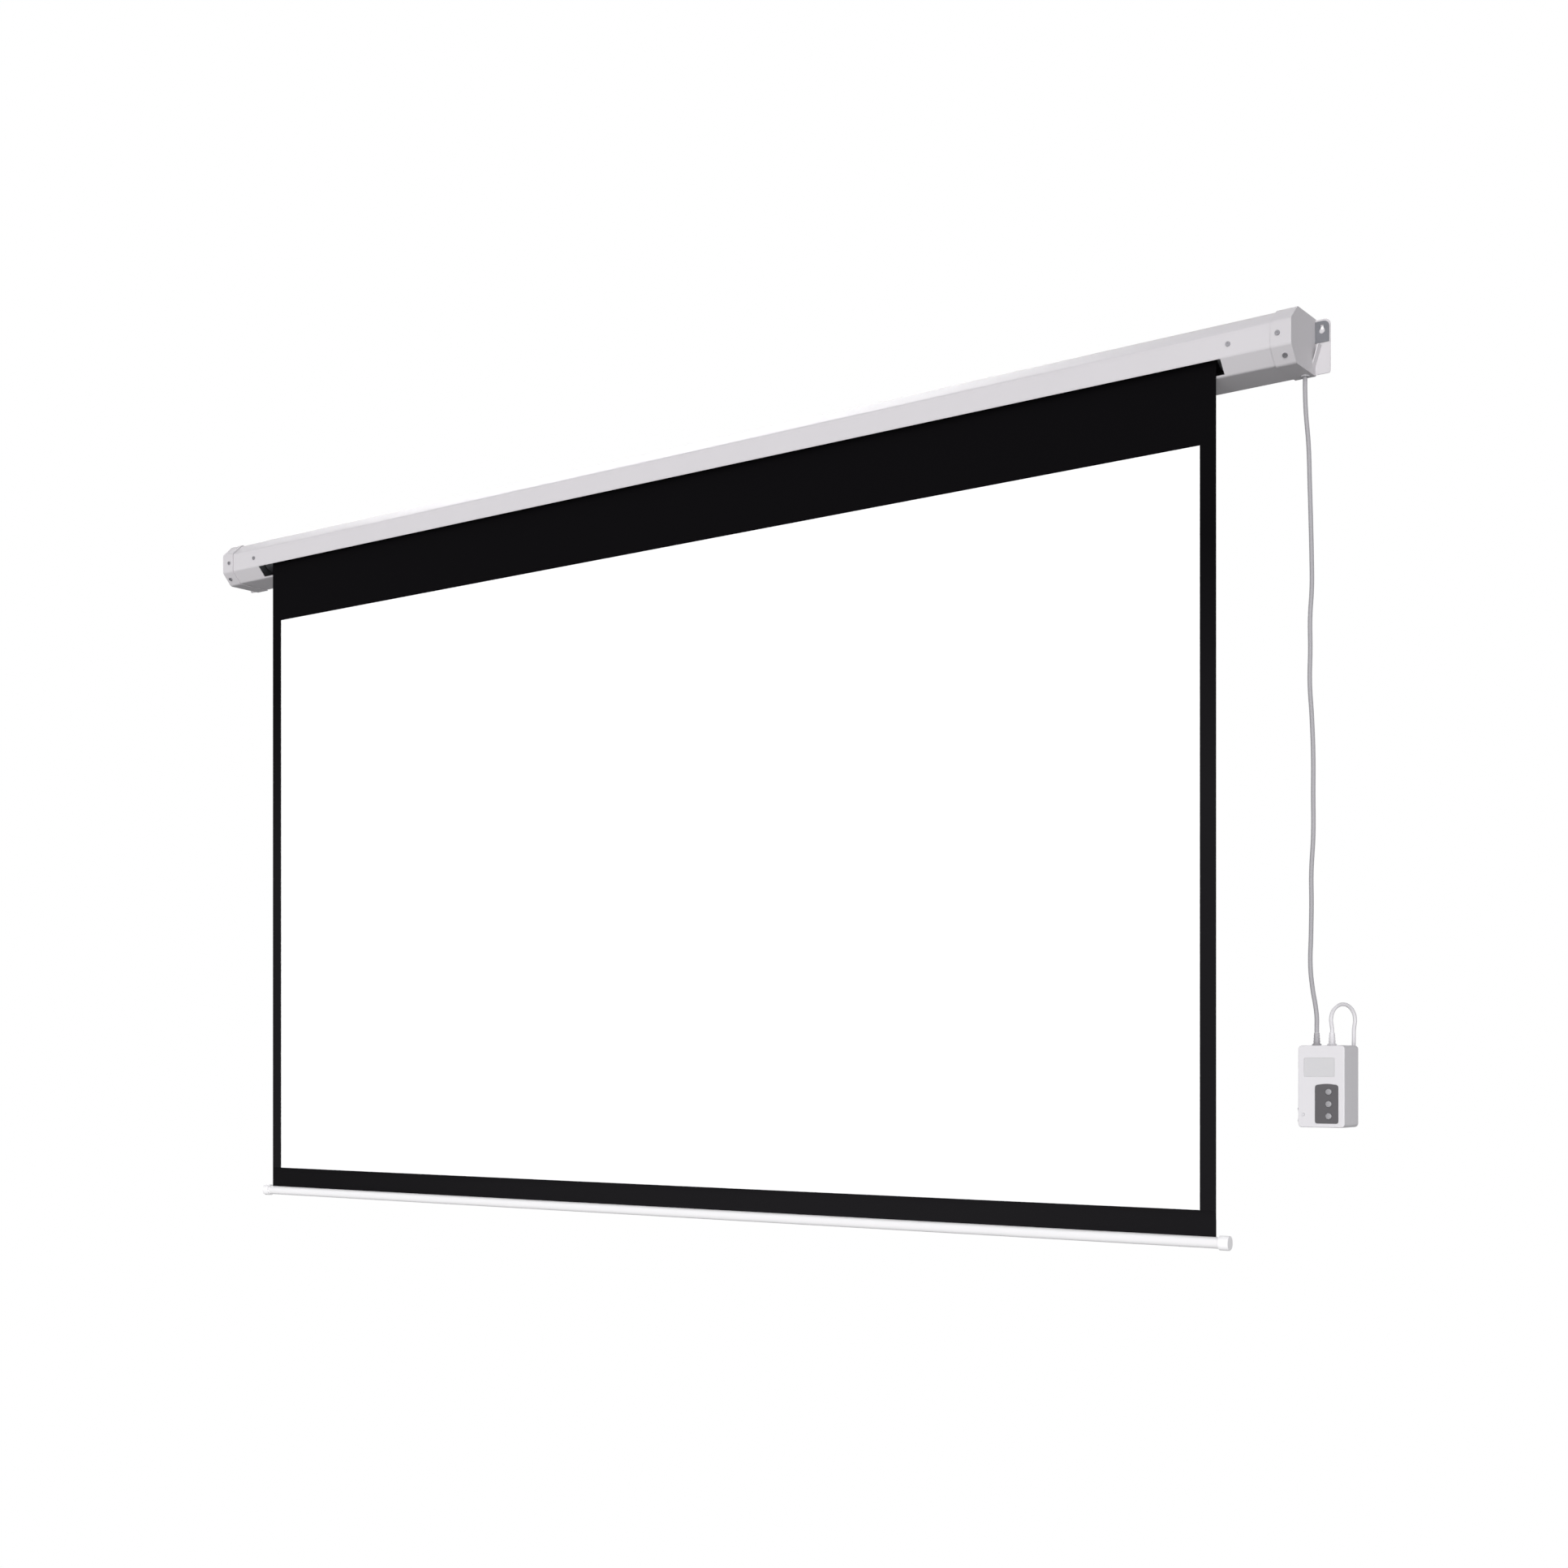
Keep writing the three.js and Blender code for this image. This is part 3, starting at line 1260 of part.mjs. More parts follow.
const mainsRoute = [
  [59.5, -57, -1105.7],
  [59.5, -57, -1101.2],
  [58.99, -58.02, -1093.52],
  [58.49, -59.03, -1085.83],
  [59.98, -56.03, -1073.33],
  [64.06, -47.84, -1064.18],
  [69.62, -36.65, -1060.83],
  [75.19, -25.46, -1064.18],
  [79.27, -17.27, -1073.33],
  [80.76, -14.27, -1085.83],
  [80.26, -15.28, -1093.52],
  [79.75, -16.3, -1101.2],
  [79.6, -16.3, -1114],
  [79.25, -16.3, -1128],
  [78.9, -16.3, -1142],
  [78.65, -16.3, -1153],
  [78.55, -16.3, -1161],
  [78.55, -16.3, -1169.7],
];
const loop = cordAlong(mainsRoute, mains.radius, mains.sides, mains.steps);
piece(controlGroup, "mains_lead", loop, finishes.boxWhite);

const tailRoute = [
  [78.55, -9.7, -1182.3],
  [78.55, -9.7, -1191],
  [78.55, -10, -1202],
  [78.55, -10.6, -1212],
  [76.65, -11.2, -1221.6],
  [71.25, -11.8, -1229.7],
  [63.15, -12.4, -1235.1],
  [53.55, -12.9, -1237],
  [51.55, -13, -1237],
];
const tail = cordAlong(tailRoute, mains.radius, mains.sides, mains.tailSteps);
piece(controlGroup, "mains_tail", tail, finishes.boxWhite);

// A strap round the coil's left side, in the plane z = coilZ
function coilTie() {
  const depth = (coilLayers[1] - coilLayers[0]) / 2 + mains.radius + tie.clearance;
  const inner = coilOuter - (coil.turns / 2) * coil.spacing - mains.radius - tie.clearance;
  const outer = coilOuter + mains.radius + tie.clearance;
  const hole = rectangle([-outer, -inner], [-depth, depth]);
  const rim = insetOutline(hole, -tie.thickness);
  const shape = roundedShape(rim, rim.map(() => tie.outerRadius));
  shape.holes.push(roundedShape(hole, hole.map(() => tie.innerRadius)));
  return new THREE.ExtrudeGeometry(shape, { depth: tie.width, bevelEnabled: false })
    .translate(0, 0, -tie.width / 2);
}

piece(controlGroup, "coil_tie", coilTie(), finishes.blackPlastic).position.set(coilX, coilY, coilZ);

// Two-pin mains plug, lying under the coil with its pins to the left
function plugSolid() {
  const halfDepth = mainsPlug.depth / 2;
  const halfWidth = mainsPlug.width / 2;
  const nose = halfWidth * mainsPlug.noseShare;
  const outline = [
    [0, -nose],
    [0, nose],
    [-mainsPlug.length / 2, halfWidth],
    [-mainsPlug.length, halfWidth],
    [-mainsPlug.length, -halfWidth],
    [-mainsPlug.length / 2, -halfWidth],
  ];
  const edge = mainsPlug.edgeRadius;
  const inner = insetOutline(outline, edge);
  const shape = roundedShape(inner, inner.map(() => edge));
  const body = new THREE.ExtrudeGeometry(shape, {
    depth: mainsPlug.depth - 2 * edge,
    bevelThickness: edge,
    bevelSize: edge,
    bevelSegments: 3,
  })
    .translate(0, 0, -halfDepth + edge)
    .applyMatrix4(towardRoom);
  const [tip, foot] = [mains.radius + gap, mainsPlug.reliefRadius];
  const reliefCone = new THREE.CylinderGeometry(tip, foot, mainsPlug.reliefLength, 20)
    .rotateZ(-Math.PI / 2)
    .translate(mainsPlug.reliefLength / 2 - overrun, 0, 0);
  const pins = [-1, 1].map((side) =>
    rodX(mainsPlug.pinRadius, -mainsPlug.length - mainsPlug.pinReach, -mainsPlug.length + overrun, 16)
      .translate(0, 0, (side * mainsPlug.pinSpacing) / 2),
  );
  return join(body, reliefCone, ...pins);
}

const plugX = tailRoute.at(-1)[0] - gap - mainsPlug.reliefLength + overrun;
const plugZ = box.topZ - mainsPlug.centreDrop;
piece(controlGroup, "mains_plug", plugSolid(), finishes.boxWhite).position.set(plugX, coilY, plugZ);

const travel = -half - bar.stopClearance - (barTopZ + bar.capOver);
console.log(`bar travel ${travel.toFixed(2)} mm, wound radius ${rollRadius} mm`);
console.log(`roller axis y ${rollerY.toFixed(3)}, fabric y ${fabricMidY.toFixed(3)}`);
console.log(`bar top z ${barTopZ.toFixed(3)}`);

export default screen;
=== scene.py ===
import math

import bmesh
import bpy
import numpy as np
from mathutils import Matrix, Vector


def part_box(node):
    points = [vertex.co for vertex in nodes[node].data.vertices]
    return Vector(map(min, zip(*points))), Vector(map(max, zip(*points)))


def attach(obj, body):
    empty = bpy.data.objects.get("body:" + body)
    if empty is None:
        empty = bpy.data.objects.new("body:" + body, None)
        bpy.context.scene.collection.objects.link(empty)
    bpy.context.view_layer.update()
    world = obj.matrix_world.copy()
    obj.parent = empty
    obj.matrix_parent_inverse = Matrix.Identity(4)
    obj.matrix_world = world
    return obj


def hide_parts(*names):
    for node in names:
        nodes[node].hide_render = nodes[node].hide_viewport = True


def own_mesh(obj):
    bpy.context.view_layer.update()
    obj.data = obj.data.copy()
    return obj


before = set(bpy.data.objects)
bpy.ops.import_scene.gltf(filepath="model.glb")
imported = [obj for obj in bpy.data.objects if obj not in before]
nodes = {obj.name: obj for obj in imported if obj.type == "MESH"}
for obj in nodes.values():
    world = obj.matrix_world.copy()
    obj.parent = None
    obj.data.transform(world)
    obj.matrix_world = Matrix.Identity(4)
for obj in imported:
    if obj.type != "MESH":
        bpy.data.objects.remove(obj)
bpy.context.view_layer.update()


# Camera: right of the screen's middle and below it, level, turned 38 degrees to the left.
# 48.1 mm on a 36 mm sensor, with the lens shifted down so that the uprights stay parallel.
sensor_mm = 36
image_side = 1932
focal_px = 2584.0
centre_px = 830.0
horizon_px = 1306.7
camera_data = bpy.data.cameras.new("camera")
camera_data.sensor_width = sensor_mm
camera_data.lens = sensor_mm * focal_px / image_side
camera_data.shift_x = (image_side / 2 - centre_px) / image_side
camera_data.shift_y = (horizon_px - image_side / 2) / image_side
camera = bpy.data.objects.new("camera", camera_data)
camera.location = (2.5301, -3.3108, -1.1498)
turned_left = 0.65934
camera.rotation_euler = (math.radians(90), 0, turned_left)
bpy.context.scene.collection.objects.link(camera)
bpy.context.scene.camera = camera
bpy.context.scene.view_settings.view_transform = "Standard"


# Studio: a wide soft lamp in front and to the right, a dimmer one behind and to the left, a pale
# surround and a pale plain floor.
# The surround lights from every side. The floor casts no shadow on the screen, and lies so far down
# that a view from below the screen is still above it.
def linear(hex_colour):
    """The linear colour of an sRGB hex value."""
    parts = [int(hex_colour[i : i + 2], 16) / 255 for i in (1, 3, 5)]
    return (*[c / 12.92 if c <= 0.04045 else ((c + 0.055) / 1.055) ** 2.4 for c in parts], 1.0)


def add(tree, kind, inputs=None, **settings):
    """Adds one node to a tree; an input is a value, or the output that feeds it."""
    node = tree.nodes.new("ShaderNode" + kind)
    for name, value in settings.items():
        setattr(node, name, value)
    for name, value in (inputs or {}).items():
        if isinstance(value, bpy.types.NodeSocket):
            tree.links.new(value, node.inputs[name])
        else:
            node.inputs[name].default_value = value
    return node


surround = bpy.data.worlds.new("surround")
surround.use_nodes = True
sky = surround.node_tree
sky.nodes.clear()
path = add(sky, "LightPath")
upness = add(sky, "SeparateXYZ", {"Vector": add(sky, "TexCoord").outputs["Generated"]})
height = add(sky, "MapRange", {"Value": upness.outputs["Z"], "From Min": -1.0})
soft = add(sky, "ValToRGB", {"Fac": height.outputs[0]})
soft.color_ramp.elements[0].color = linear("#B9B9BB")
soft.color_ramp.elements[1].color = linear("#A3A3A5")
seen = add(sky, "Mix", {"Factor": path.outputs["Is Camera Ray"]}, data_type="RGBA")
sky.links.new(soft.outputs["Color"], seen.inputs["A"])
seen.inputs["B"].default_value = (1, 1, 1, 1)
light_out = add(sky, "Background", {"Color": seen.outputs["Result"], "Strength": 1.0})
add(sky, "OutputWorld", {"Surface": light_out.outputs["Background"]})
bpy.context.scene.world = surround

# For each lamp: its strength, its spread in degrees, and the way towards it.
lamps = {
    "front_lamp": (2.92, 60, (0.36, -0.92, -0.08)),
    "back_lamp": (1.2, 20, (-0.6, 0.5, 0.62)),
}
for name, (energy, spread_degrees, towards) in lamps.items():
    lamp_data = bpy.data.lights.new(name, "SUN")
    lamp_data.energy = energy
    lamp_data.angle = math.radians(spread_degrees)
    lamp = bpy.data.objects.new(name, lamp_data)
    lamp.rotation_euler = Vector(towards).to_track_quat("Z", "Y").to_euler()
    bpy.context.scene.collection.objects.link(lamp)

floor_mesh = bpy.data.meshes.new("floor")
floor_z = -5.5
floor_reach = 22
sides = ((-1, -1), (1, -1), (1, 1), (-1, 1))
floor_corners = [(x * floor_reach, y * floor_reach, floor_z) for x, y in sides]
floor_mesh.from_pydata(floor_corners, [], [(0, 1, 2, 3)])
floor = bpy.data.objects.new("floor", floor_mesh)
bpy.context.scene.collection.objects.link(floor)
floor.visible_shadow = False
paint = bpy.data.materials.new("pale_floor_paint")
paint.use_nodes = True
tree = paint.node_tree
tree.nodes.clear()
glow = add(tree, "Emission", {"Color": (1, 1, 1, 1), "Strength": 1.0})
matt = add(tree, "BsdfDiffuse", {"Color": linear("#8E8E8E")})
shown = add(tree, "MixShader", {"Fac": add(tree, "LightPath").outputs["Is Camera Ray"]})
tree.links.new(matt.outputs[0], shown.inputs[1])
tree.links.new(glow.outputs[0], shown.inputs[2])
add(tree, "OutputMaterial", {"Surface": shown.outputs[0]})
floor_mesh.materials.append(paint)


# Motor lead: a 7 mm round cable in a soft grey PVC sheath, extruded, hanging from the collar in the
# case's underside to the control box. The sheath is smooth with a slow waver in its gloss.
def finish(name, colour, roughness, metallic=0.0, grain_mm=1.0, depth_mm=0.02, mottle=0.04, **sockets):
    """A surface with a fine grain of a real size, a slow change of tone, and a waver in its gloss."""
    waves_a_metre = 9.0
    gloss_waver = 0.08
    material = bpy.data.materials.new(name)
    material.use_nodes = True
    tree = material.node_tree
    tree.nodes.clear()
    place = add(tree, "TexCoord").outputs["Object"]
    grain = add(tree, "TexNoise", {"Vector": place, "Scale": 1000 / grain_mm, "Detail": 3.0})
    cloud = add(tree, "TexNoise", {"Vector": place, "Scale": waves_a_metre, "Detail": 4.0})
    tone = add(tree, "ValToRGB", {"Fac": cloud.outputs["Fac"]})
    base = linear(colour)
    for stop, where, share in zip(tone.color_ramp.elements, (0.3, 0.7), (1 - mottle, 1.0)):
        stop.position = where
        stop.color = (*[c * share for c in base[:3]], 1)
    gloss = add(
        tree,
        "MapRange",
        {
            "Value": grain.outputs["Fac"],
            "To Min": roughness * (1 - gloss_waver),
            "To Max": roughness * (1 + gloss_waver),
        },
    )
    bump = add(tree, "Bump", {"Height": grain.outputs["Fac"], "Distance": depth_mm / 1000, "Strength": 0.6})
    skin = add(
        tree,
        "BsdfPrincipled",
        {
            "Base Color": tone.outputs["Color"],
            "Roughness": gloss.outputs["Result"],
            "Metallic": metallic,
            "Normal": bump.outputs["Normal"],
            **sockets,
        },
    )
    add(tree, "OutputMaterial", {"Surface": skin.outputs["BSDF"]})
    return material


def cable(name, points_mm, diameter_mm, material):
    """A round cable along a smooth line through the points."""
    data = bpy.data.curves.new(name, "CURVE")
    data.dimensions = "3D"
    data.bevel_depth = diameter_mm / 2000
    data.bevel_resolution = 5
    data.resolution_u = 6
    data.use_fill_caps = True
    line = data.splines.new("BEZIER")
    line.bezier_points.add(len(points_mm) - 1)
    for knot, p in zip(line.bezier_points, points_mm):
        knot.co = Vector(p) / 1000
        knot.handle_left_type = knot.handle_right_type = "AUTO"
    data.materials.append(material)
    made = bpy.data.objects.new(name, data)
    bpy.context.scene.collection.objects.link(made)
    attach(made, "screen")
    return made


grey_sheath = finish("grey_pvc_sheath", "#A6A4A8", 0.5, grain_mm=2, depth_mm=0.03, IOR=1.53)
motor_lead = cable(
    "motor_lead_cable",
    [
        (1264, -16, -48.8),
        (1264, -16, -70),
        (1265, -16, -100),
        (1270.3, -17.5, -160),
        (1273.3, -20, -225),
        (1276.3, -23, -290),
        (1278.3, -25, -345),
        (1279.3, -27, -390),
        (1277.3, -29, -440),
        (1278.3, -31, -490),
        (1278.3, -33, -545),
        (1282.3, -35, -600),
        (1285.3, -37, -660),
        (1286.3, -39.5, -725),
        (1287.3, -42, -790),
        (1285, -44, -850),
        (1286, -46, -900),
        (1286, -48, -950),
        (1286, -50.5, -1000),
        (1291, -53.5, -1038),
        (1296, -55.5, -1062),
        (1298.8, -57, -1082),
        (1298.8, -57, -1096),
        (1298.8, -57, -1105.7),
    ],
    7,
    grey_sheath,
)
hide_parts("motor_lead")


# Mains cord: 1.3 m of 6 mm round cable in a white PVC sheath, from the top of the control box over
# and down behind it, wound into a flat coil of two layers held by a tie, and on to a two-pin plug.
coil_centre = (1301.3, -13, -1176)
coil_turns = 5
coil_pitch = 6.6
coil_outer = 41.25
coil_layers = (-16.3, -9.7)
coil_crossing = 0.5
coil_steps = 120
white_sheath = finish("white_pvc_sheath", "#D8D6D9", 0.45, grain_mm=2, depth_mm=0.03, IOR=1.53)


def coil_point(t):
    """Clockwise from the room: in for half of the turns, across to the layer behind, and out again."""
    turn = t * coil_turns
    middle = coil_turns / 2
    radius = coil_outer - (middle - abs(turn - middle)) * coil_pitch
    step = min(1, max(0, (turn - middle) / coil_crossing + 0.5))
    climb = step * step * (3 - 2 * step)
    angle = -2 * math.pi * turn
    return (
        coil_centre[0] + radius * math.cos(angle),
        coil_layers[0] + (coil_layers[1] - coil_layers[0]) * climb,
        coil_centre[2] + radius * math.sin(angle),
    )


mains_cord = cable(
    "mains_cord",
    [
        (1323.5, -57, -1105.7),
        (1323.5, -57, -1101.2),
        (1322.99, -58.02, -1093.52),
        (1322.49, -59.03, -1085.83),
        (1323.98, -56.03, -1073.33),
        (1328.06, -47.84, -1064.18),
        (1333.62, -36.65, -1060.83),
        (1339.19, -25.46, -1064.18),
        (1343.27, -17.27, -1073.33),
        (1344.76, -14.27, -1085.83),
        (1344.26, -15.28, -1093.52),
        (1343.75, -16.3, -1101.2),
        (1343.6, -16.3, -1114),
        (1343.25, -16.3, -1128),
        (1342.9, -16.3, -1142),
        (1342.65, -16.3, -1153),
        (1342.55, -16.3, -1161),
        (1342.55, -16.3, -1169.7),
        *[coil_point(i / coil_steps) for i in range(coil_steps + 1)],
        (1342.55, -9.7, -1182.3),
        (1342.55, -9.7, -1191),
        (1342.55, -10, -1202),
        (1342.55, -10.6, -1212),
        (1340.65, -11.2, -1221.6),
        (1335.25, -11.8, -1229.7),
        (1327.15, -12.4, -1235.1),
        (1317.55, -12.9, -1237),
        (1315.55, -13, -1237),
    ],
    6,
    white_sheath,
)
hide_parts("mains_lead", "mains_coil", "mains_tail")


# Plug and tie: the plug is moulded PVC, the same white as its cord and a little softer in gloss,
# and the tie is a strap of black nylon with a satin skin.
def shade_round(names, degrees):
    """Smooths the shading of parts over bends of less than the given angle; their shape stays."""
    for name in names:
        mesh = nodes[name].data
        count = len(mesh.polygons)
        normals = np.array([p.normal for p in mesh.polygons])
        areas = np.array([p.area for p in mesh.polygons])
        centres = np.array([p.center for p in mesh.polygons])
        flats = {}
        offsets = np.einsum("ij,ij->i", normals, centres)
        keys = [(*np.round(normals[i], 3), round(offsets[i], 5)) for i in range(count)]
        for key, area in zip(keys, areas):
            flats[key] = flats.get(key, 0) + area
        meeting = {}
        corners = [tuple(np.round(mesh.vertices[loop.vertex_index].co, 6)) for loop in mesh.loops]
        owner = np.empty(len(corners), int)
        for p in mesh.polygons:
            for i in p.loop_indices:
                owner[i] = p.index
                meeting.setdefault(corners[i], set()).add(p.index)
        limit = math.cos(math.radians(degrees))
        turned = []
        for i, corner in enumerate(corners):
            near = [j for j in meeting[corner] if normals[j] @ normals[owner[i]] > limit]
            seen_flats = {keys[j]: normals[j] * flats[keys[j]] for j in near}
            total = sum(seen_flats.values())
            length = np.linalg.norm(total)
            turned.append(tuple(total / length) if length > 0 else tuple(normals[owner[i]]))
        mesh.polygons.foreach_set("use_smooth", [True] * count)
        mesh.normals_split_custom_set(turned)


def coat(material, *names, degrees=34):
    """Gives parts their finish, and smooth shading over bends of less than the given angle."""
    for name in names:
        mesh = nodes[name].data
        mesh.materials.clear()
        mesh.materials.append(material)
    shade_round(names, degrees)


plug_pvc = finish("white_moulded_pvc", "#DAD8DB", 0.5, grain_mm=2.5, depth_mm=0.04, IOR=1.53)
coat(plug_pvc, "mains_plug")
black_nylon = finish("black_nylon", "#232325", 0.48, grain_mm=2.5, depth_mm=0.05, mottle=0.12, IOR=1.53)
coat(black_nylon, "coil_tie")


# Case shell: roll-formed steel, powder coated in a cool white. The coat has a fine orange peel,
# 0.5 mm across on the real case and drawn at 3 mm so that it shows.
white_powder = finish(
    "white_powder_coat",
    "#CFCCCF",
    0.42,
    grain_mm=3,
    depth_mm=0.05,
    mottle=0.015,
    IOR=1.5,
)
coat(white_powder, "housing_shell")


# End caps: moulded ABS sleeves over the ends of the case, with an ear against the wall and a web
# beside it. ABS straight from a spark-eroded mould has an even satin grain.
cap_abs = finish("moulded_abs", "#CDCACD", 0.5, grain_mm=3, depth_mm=0.07, mottle=0.02, IOR=1.54)
coat(cap_abs, "end_cap_left", "end_cap_right")


# Hanger plates, roller brackets, pin, and the motor's core and screws: zinc-plated steel, pressed
# and turned. The zinc dulls to a grey with a faint spangle some 6 mm across.
zinc_plate = finish("zinc_plated_steel", "#94959A", 0.42, 1.0, grain_mm=6, depth_mm=0.03, mottle=0.2)
coat(
    zinc_plate,
    "hanger_plate_left",
    "hanger_plate_right",
    "idler_bracket",
    "motor_bracket",
    "idler_pin",
    "motor_core",
    "motor_screw_1",
    "motor_screw_2",
)


# Screws of the caps, the brackets and the control box: pan heads in dark zinc, with a hex recess.
# Their heads are turned bright and then dulled by the bath, so they read as mid grey.
dark_zinc = finish("dark_zinc_screw", "#B6B5B9", 0.5, 1.0, grain_mm=2, depth_mm=0.02, mottle=0.15)
coat(
    dark_zinc,
    *[f"cap_screw_{side}_{place}" for side in ("left", "right") for place in ("front", "bevel")],
    "bracket_screw_left",
    "bracket_screw_right",
    "box_screw_upper",
    "box_screw_lower",
)


# Roller: an extruded aluminium tube, mill finish, satin from the die, with a faint grain 1 mm
# across.
mill_aluminium = finish("mill_aluminium", "#BCBEC1", 0.34, 1.0, grain_mm=1, depth_mm=0.01, mottle=0.06)
coat(mill_aluminium, "roller_tube")


# Roller plug, crown, drive wheel and motor head: glass-filled nylon, moulded black, slightly rough.
filled_nylon = finish(
    "glass_filled_nylon",
    "#1F1F21",
    0.58,
    grain_mm=2,
    depth_mm=0.08,
    mottle=0.12,
    IOR=1.53,
)
coat(filled_nylon, "idler_plug", "limit_crown", "drive_wheel", "motor_head")


# Tubular motor, its shaft and the roller's bearing: bright zinc on drawn steel, which keeps a
# clear soft reflection along the tube.
bright_steel = finish(
    "bright_zinc_steel",
    "#B4B6B9",
    0.3,
    1.0,
    grain_mm=1.5,
    depth_mm=0.01,
    mottle=0.08,
)
coat(bright_steel, "motor_tube", "output_shaft", "idler_bearing")


# Limit screws: turned brass with a sawn slot, warm and a little dull.
turned_brass = finish("turned_brass", "#C9A552", 0.32, 1.0, grain_mm=1, depth_mm=0.01, mottle=0.1)
coat(turned_brass, "limit_screw_upper", "limit_screw_lower")


# Picture sheet: glass-fibre cloth in PVC, 0.5 mm thick, matt white where the picture falls and printed matt
# black round it and on the back. The black is painted darker towards the top, a painted shade under the
# case. It hangs flat under the weight of the bar.
sheet_left, sheet_right = -1.127, 1.143
picture_left, picture_right = -1.099, 1.115
picture_top = -0.14813
sheet_front, sheet_back = -0.08614, -0.08564
sheet_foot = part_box("fabric_hem")[1].z
leader_middle = -0.06
picture_columns, picture_rows = 17, 11
white_area, black_area = 0, 1


def object_from(name, made, materials, body):
    """Turns a bmesh into an object that moves with a body."""
    mesh = bpy.data.meshes.new(name)
    bmesh.ops.recalc_face_normals(made, faces=made.faces)
    made.to_mesh(mesh)
    made.free()
    for material in materials:
        mesh.materials.append(material)
    result = bpy.data.objects.new(name, mesh)
    bpy.context.scene.collection.objects.link(result)
    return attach(result, body)


def cloth(name, dark, light, roughness, thread_mm, painted_shade_by_height=False):
    """A coated cloth whose weave stands through the coat, in two tones: in clouds, or up its height, where
    the change of tone is a painted shade.
    """
    clouds_a_metre = 6.0
    weave_depth = 0.00004
    material = bpy.data.materials.new(name)
    material.use_nodes = True
    tree = material.node_tree
    tree.nodes.clear()
    place = add(tree, "TexCoord").outputs["Object"]
    threads = {"Vector": place, "Scale": 1000 / thread_mm / (2 * math.pi), "Distortion": 0.6, "Detail": 1.0}
    warp = add(tree, "TexWave", threads, bands_direction="X")
    weft = add(tree, "TexWave", threads, bands_direction="Z")
    weave = add(tree, "Math", {0: warp.outputs["Fac"], 1: weft.outputs["Fac"]}, operation="MULTIPLY")
    bump = add(tree, "Bump", {"Height": weave.outputs[0], "Distance": weave_depth, "Strength": 0.5})
    if painted_shade_by_height:
        # Painted shade: the black grows darker towards the top of the sheet, where it hangs under the case.
        height = add(tree, "SeparateXYZ", {"Vector": place})
        part = add(tree, "MapRange", {"Value": height.outputs["Z"], "From Min": 0.0, "From Max": -1.0})
        mix = part.outputs["Result"]
    else:
        cloud = add(tree, "TexNoise", {"Vector": place, "Scale": clouds_a_metre, "Detail": 5.0})
        mix = cloud.outputs["Fac"]
    tone = add(tree, "ValToRGB", {"Fac": mix})
    for stop, where, colour in zip(tone.color_ramp.elements, (0.3, 0.7), (dark, light)):
        stop.position = where
        stop.color = linear(colour)
    skin = add(
        tree,
        "BsdfPrincipled",
        {
            "Base Color": tone.outputs["Color"],
            "Roughness": roughness,
            "Specular IOR Level": 0.05,
            "Normal": bump.outputs["Normal"],
        },
    )
    add(tree, "OutputMaterial", {"Surface": skin.outputs["BSDF"]})
    return material


# The weave is 0.5 mm; it is drawn at 3 mm, the finest that shows.
matt_white = cloth("matt_white_screen_coat", "#FAFAFA", "#FDFDFD", 0.9, 3)
# The black cloth carries a painted shade, darker towards the top under the case.
matt_black = cloth("matt_black_screen_coat", "#09080A", "#1A191B", 0.85, 3, painted_shade_by_height=True)
columns = [sheet_left, *np.linspace(picture_left, picture_right, picture_columns), sheet_right]
rows = [*np.linspace(sheet_foot, picture_top, picture_rows), leader_middle, 0.0]
made = bmesh.new()
faces = [[[made.verts.new((x, y, z)) for z in rows] for x in columns] for y in (sheet_front, sheet_back)]
for i in range(len(columns) - 1):
    for j in range(len(rows) - 1):
        inside = 0 < i < len(columns) - 2 and rows[j + 1] <= picture_top
        for side, grid in enumerate(faces):
            face = made.faces.new((grid[i][j], grid[i + 1][j], grid[i + 1][j + 1], grid[i][j + 1]))
            face.material_index = white_area if inside and side == 0 else black_area
front, back = faces
rim = [(i, 0) for i in range(len(columns))] + [(len(columns) - 1, j) for j in range(1, len(rows))]
rim += [(i, len(rows) - 1) for i in range(len(columns) - 2, -1, -1)]
rim += [(0, j) for j in range(len(rows) - 2, 0, -1)]
for (a, b), (c, d) in zip(rim, rim[1:] + rim[:1]):
    made.faces.new((front[a][b], front[c][d], back[c][d], back[a][b])).material_index = black_area
picture_sheet = object_from("picture_sheet", made, [matt_white, matt_black], "screen")
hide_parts("fabric_sheet")


# Hem: the foot of the sheet turned back round a spline and welded to itself, so that it slides into
# the bar. The pocket is 5.5 mm across inside and the weld is a flat band above it.
def band(name, line, thickness, x_ends, materials, body):
    """A strip of cloth whose section follows a line of (y, z) points, drawn out along X."""
    points = [Vector(p) for p in line]
    left, right = [], []
    for i, p in enumerate(points):
        ahead = (points[min(i + 1, len(points) - 1)] - points[max(i - 1, 0)]).normalized()
        across = Vector((-ahead.y, ahead.x)) * thickness / 2
        left.append(p + across)
        right.append(p - across)
    made = bmesh.new()
    ends = [[[made.verts.new((x, q.x, q.y)) for q in edge] for edge in (left, right)] for x in x_ends]
    (a_left, a_right), (b_left, b_right) = ends
    for i in range(len(points) - 1):
        made.faces.new((a_left[i], a_left[i + 1], b_left[i + 1], b_left[i])).smooth = True
        made.faces.new((a_right[i + 1], a_right[i], b_right[i], b_right[i + 1])).smooth = True
        made.faces.new((a_left[i + 1], a_left[i], a_right[i], a_right[i + 1]))
        made.faces.new((b_left[i], b_left[i + 1], b_right[i + 1], b_right[i]))
    for i in (0, -1):
        made.faces.new((a_left[i], b_left[i], b_right[i], a_right[i]))
    return object_from(name, made, materials, body)


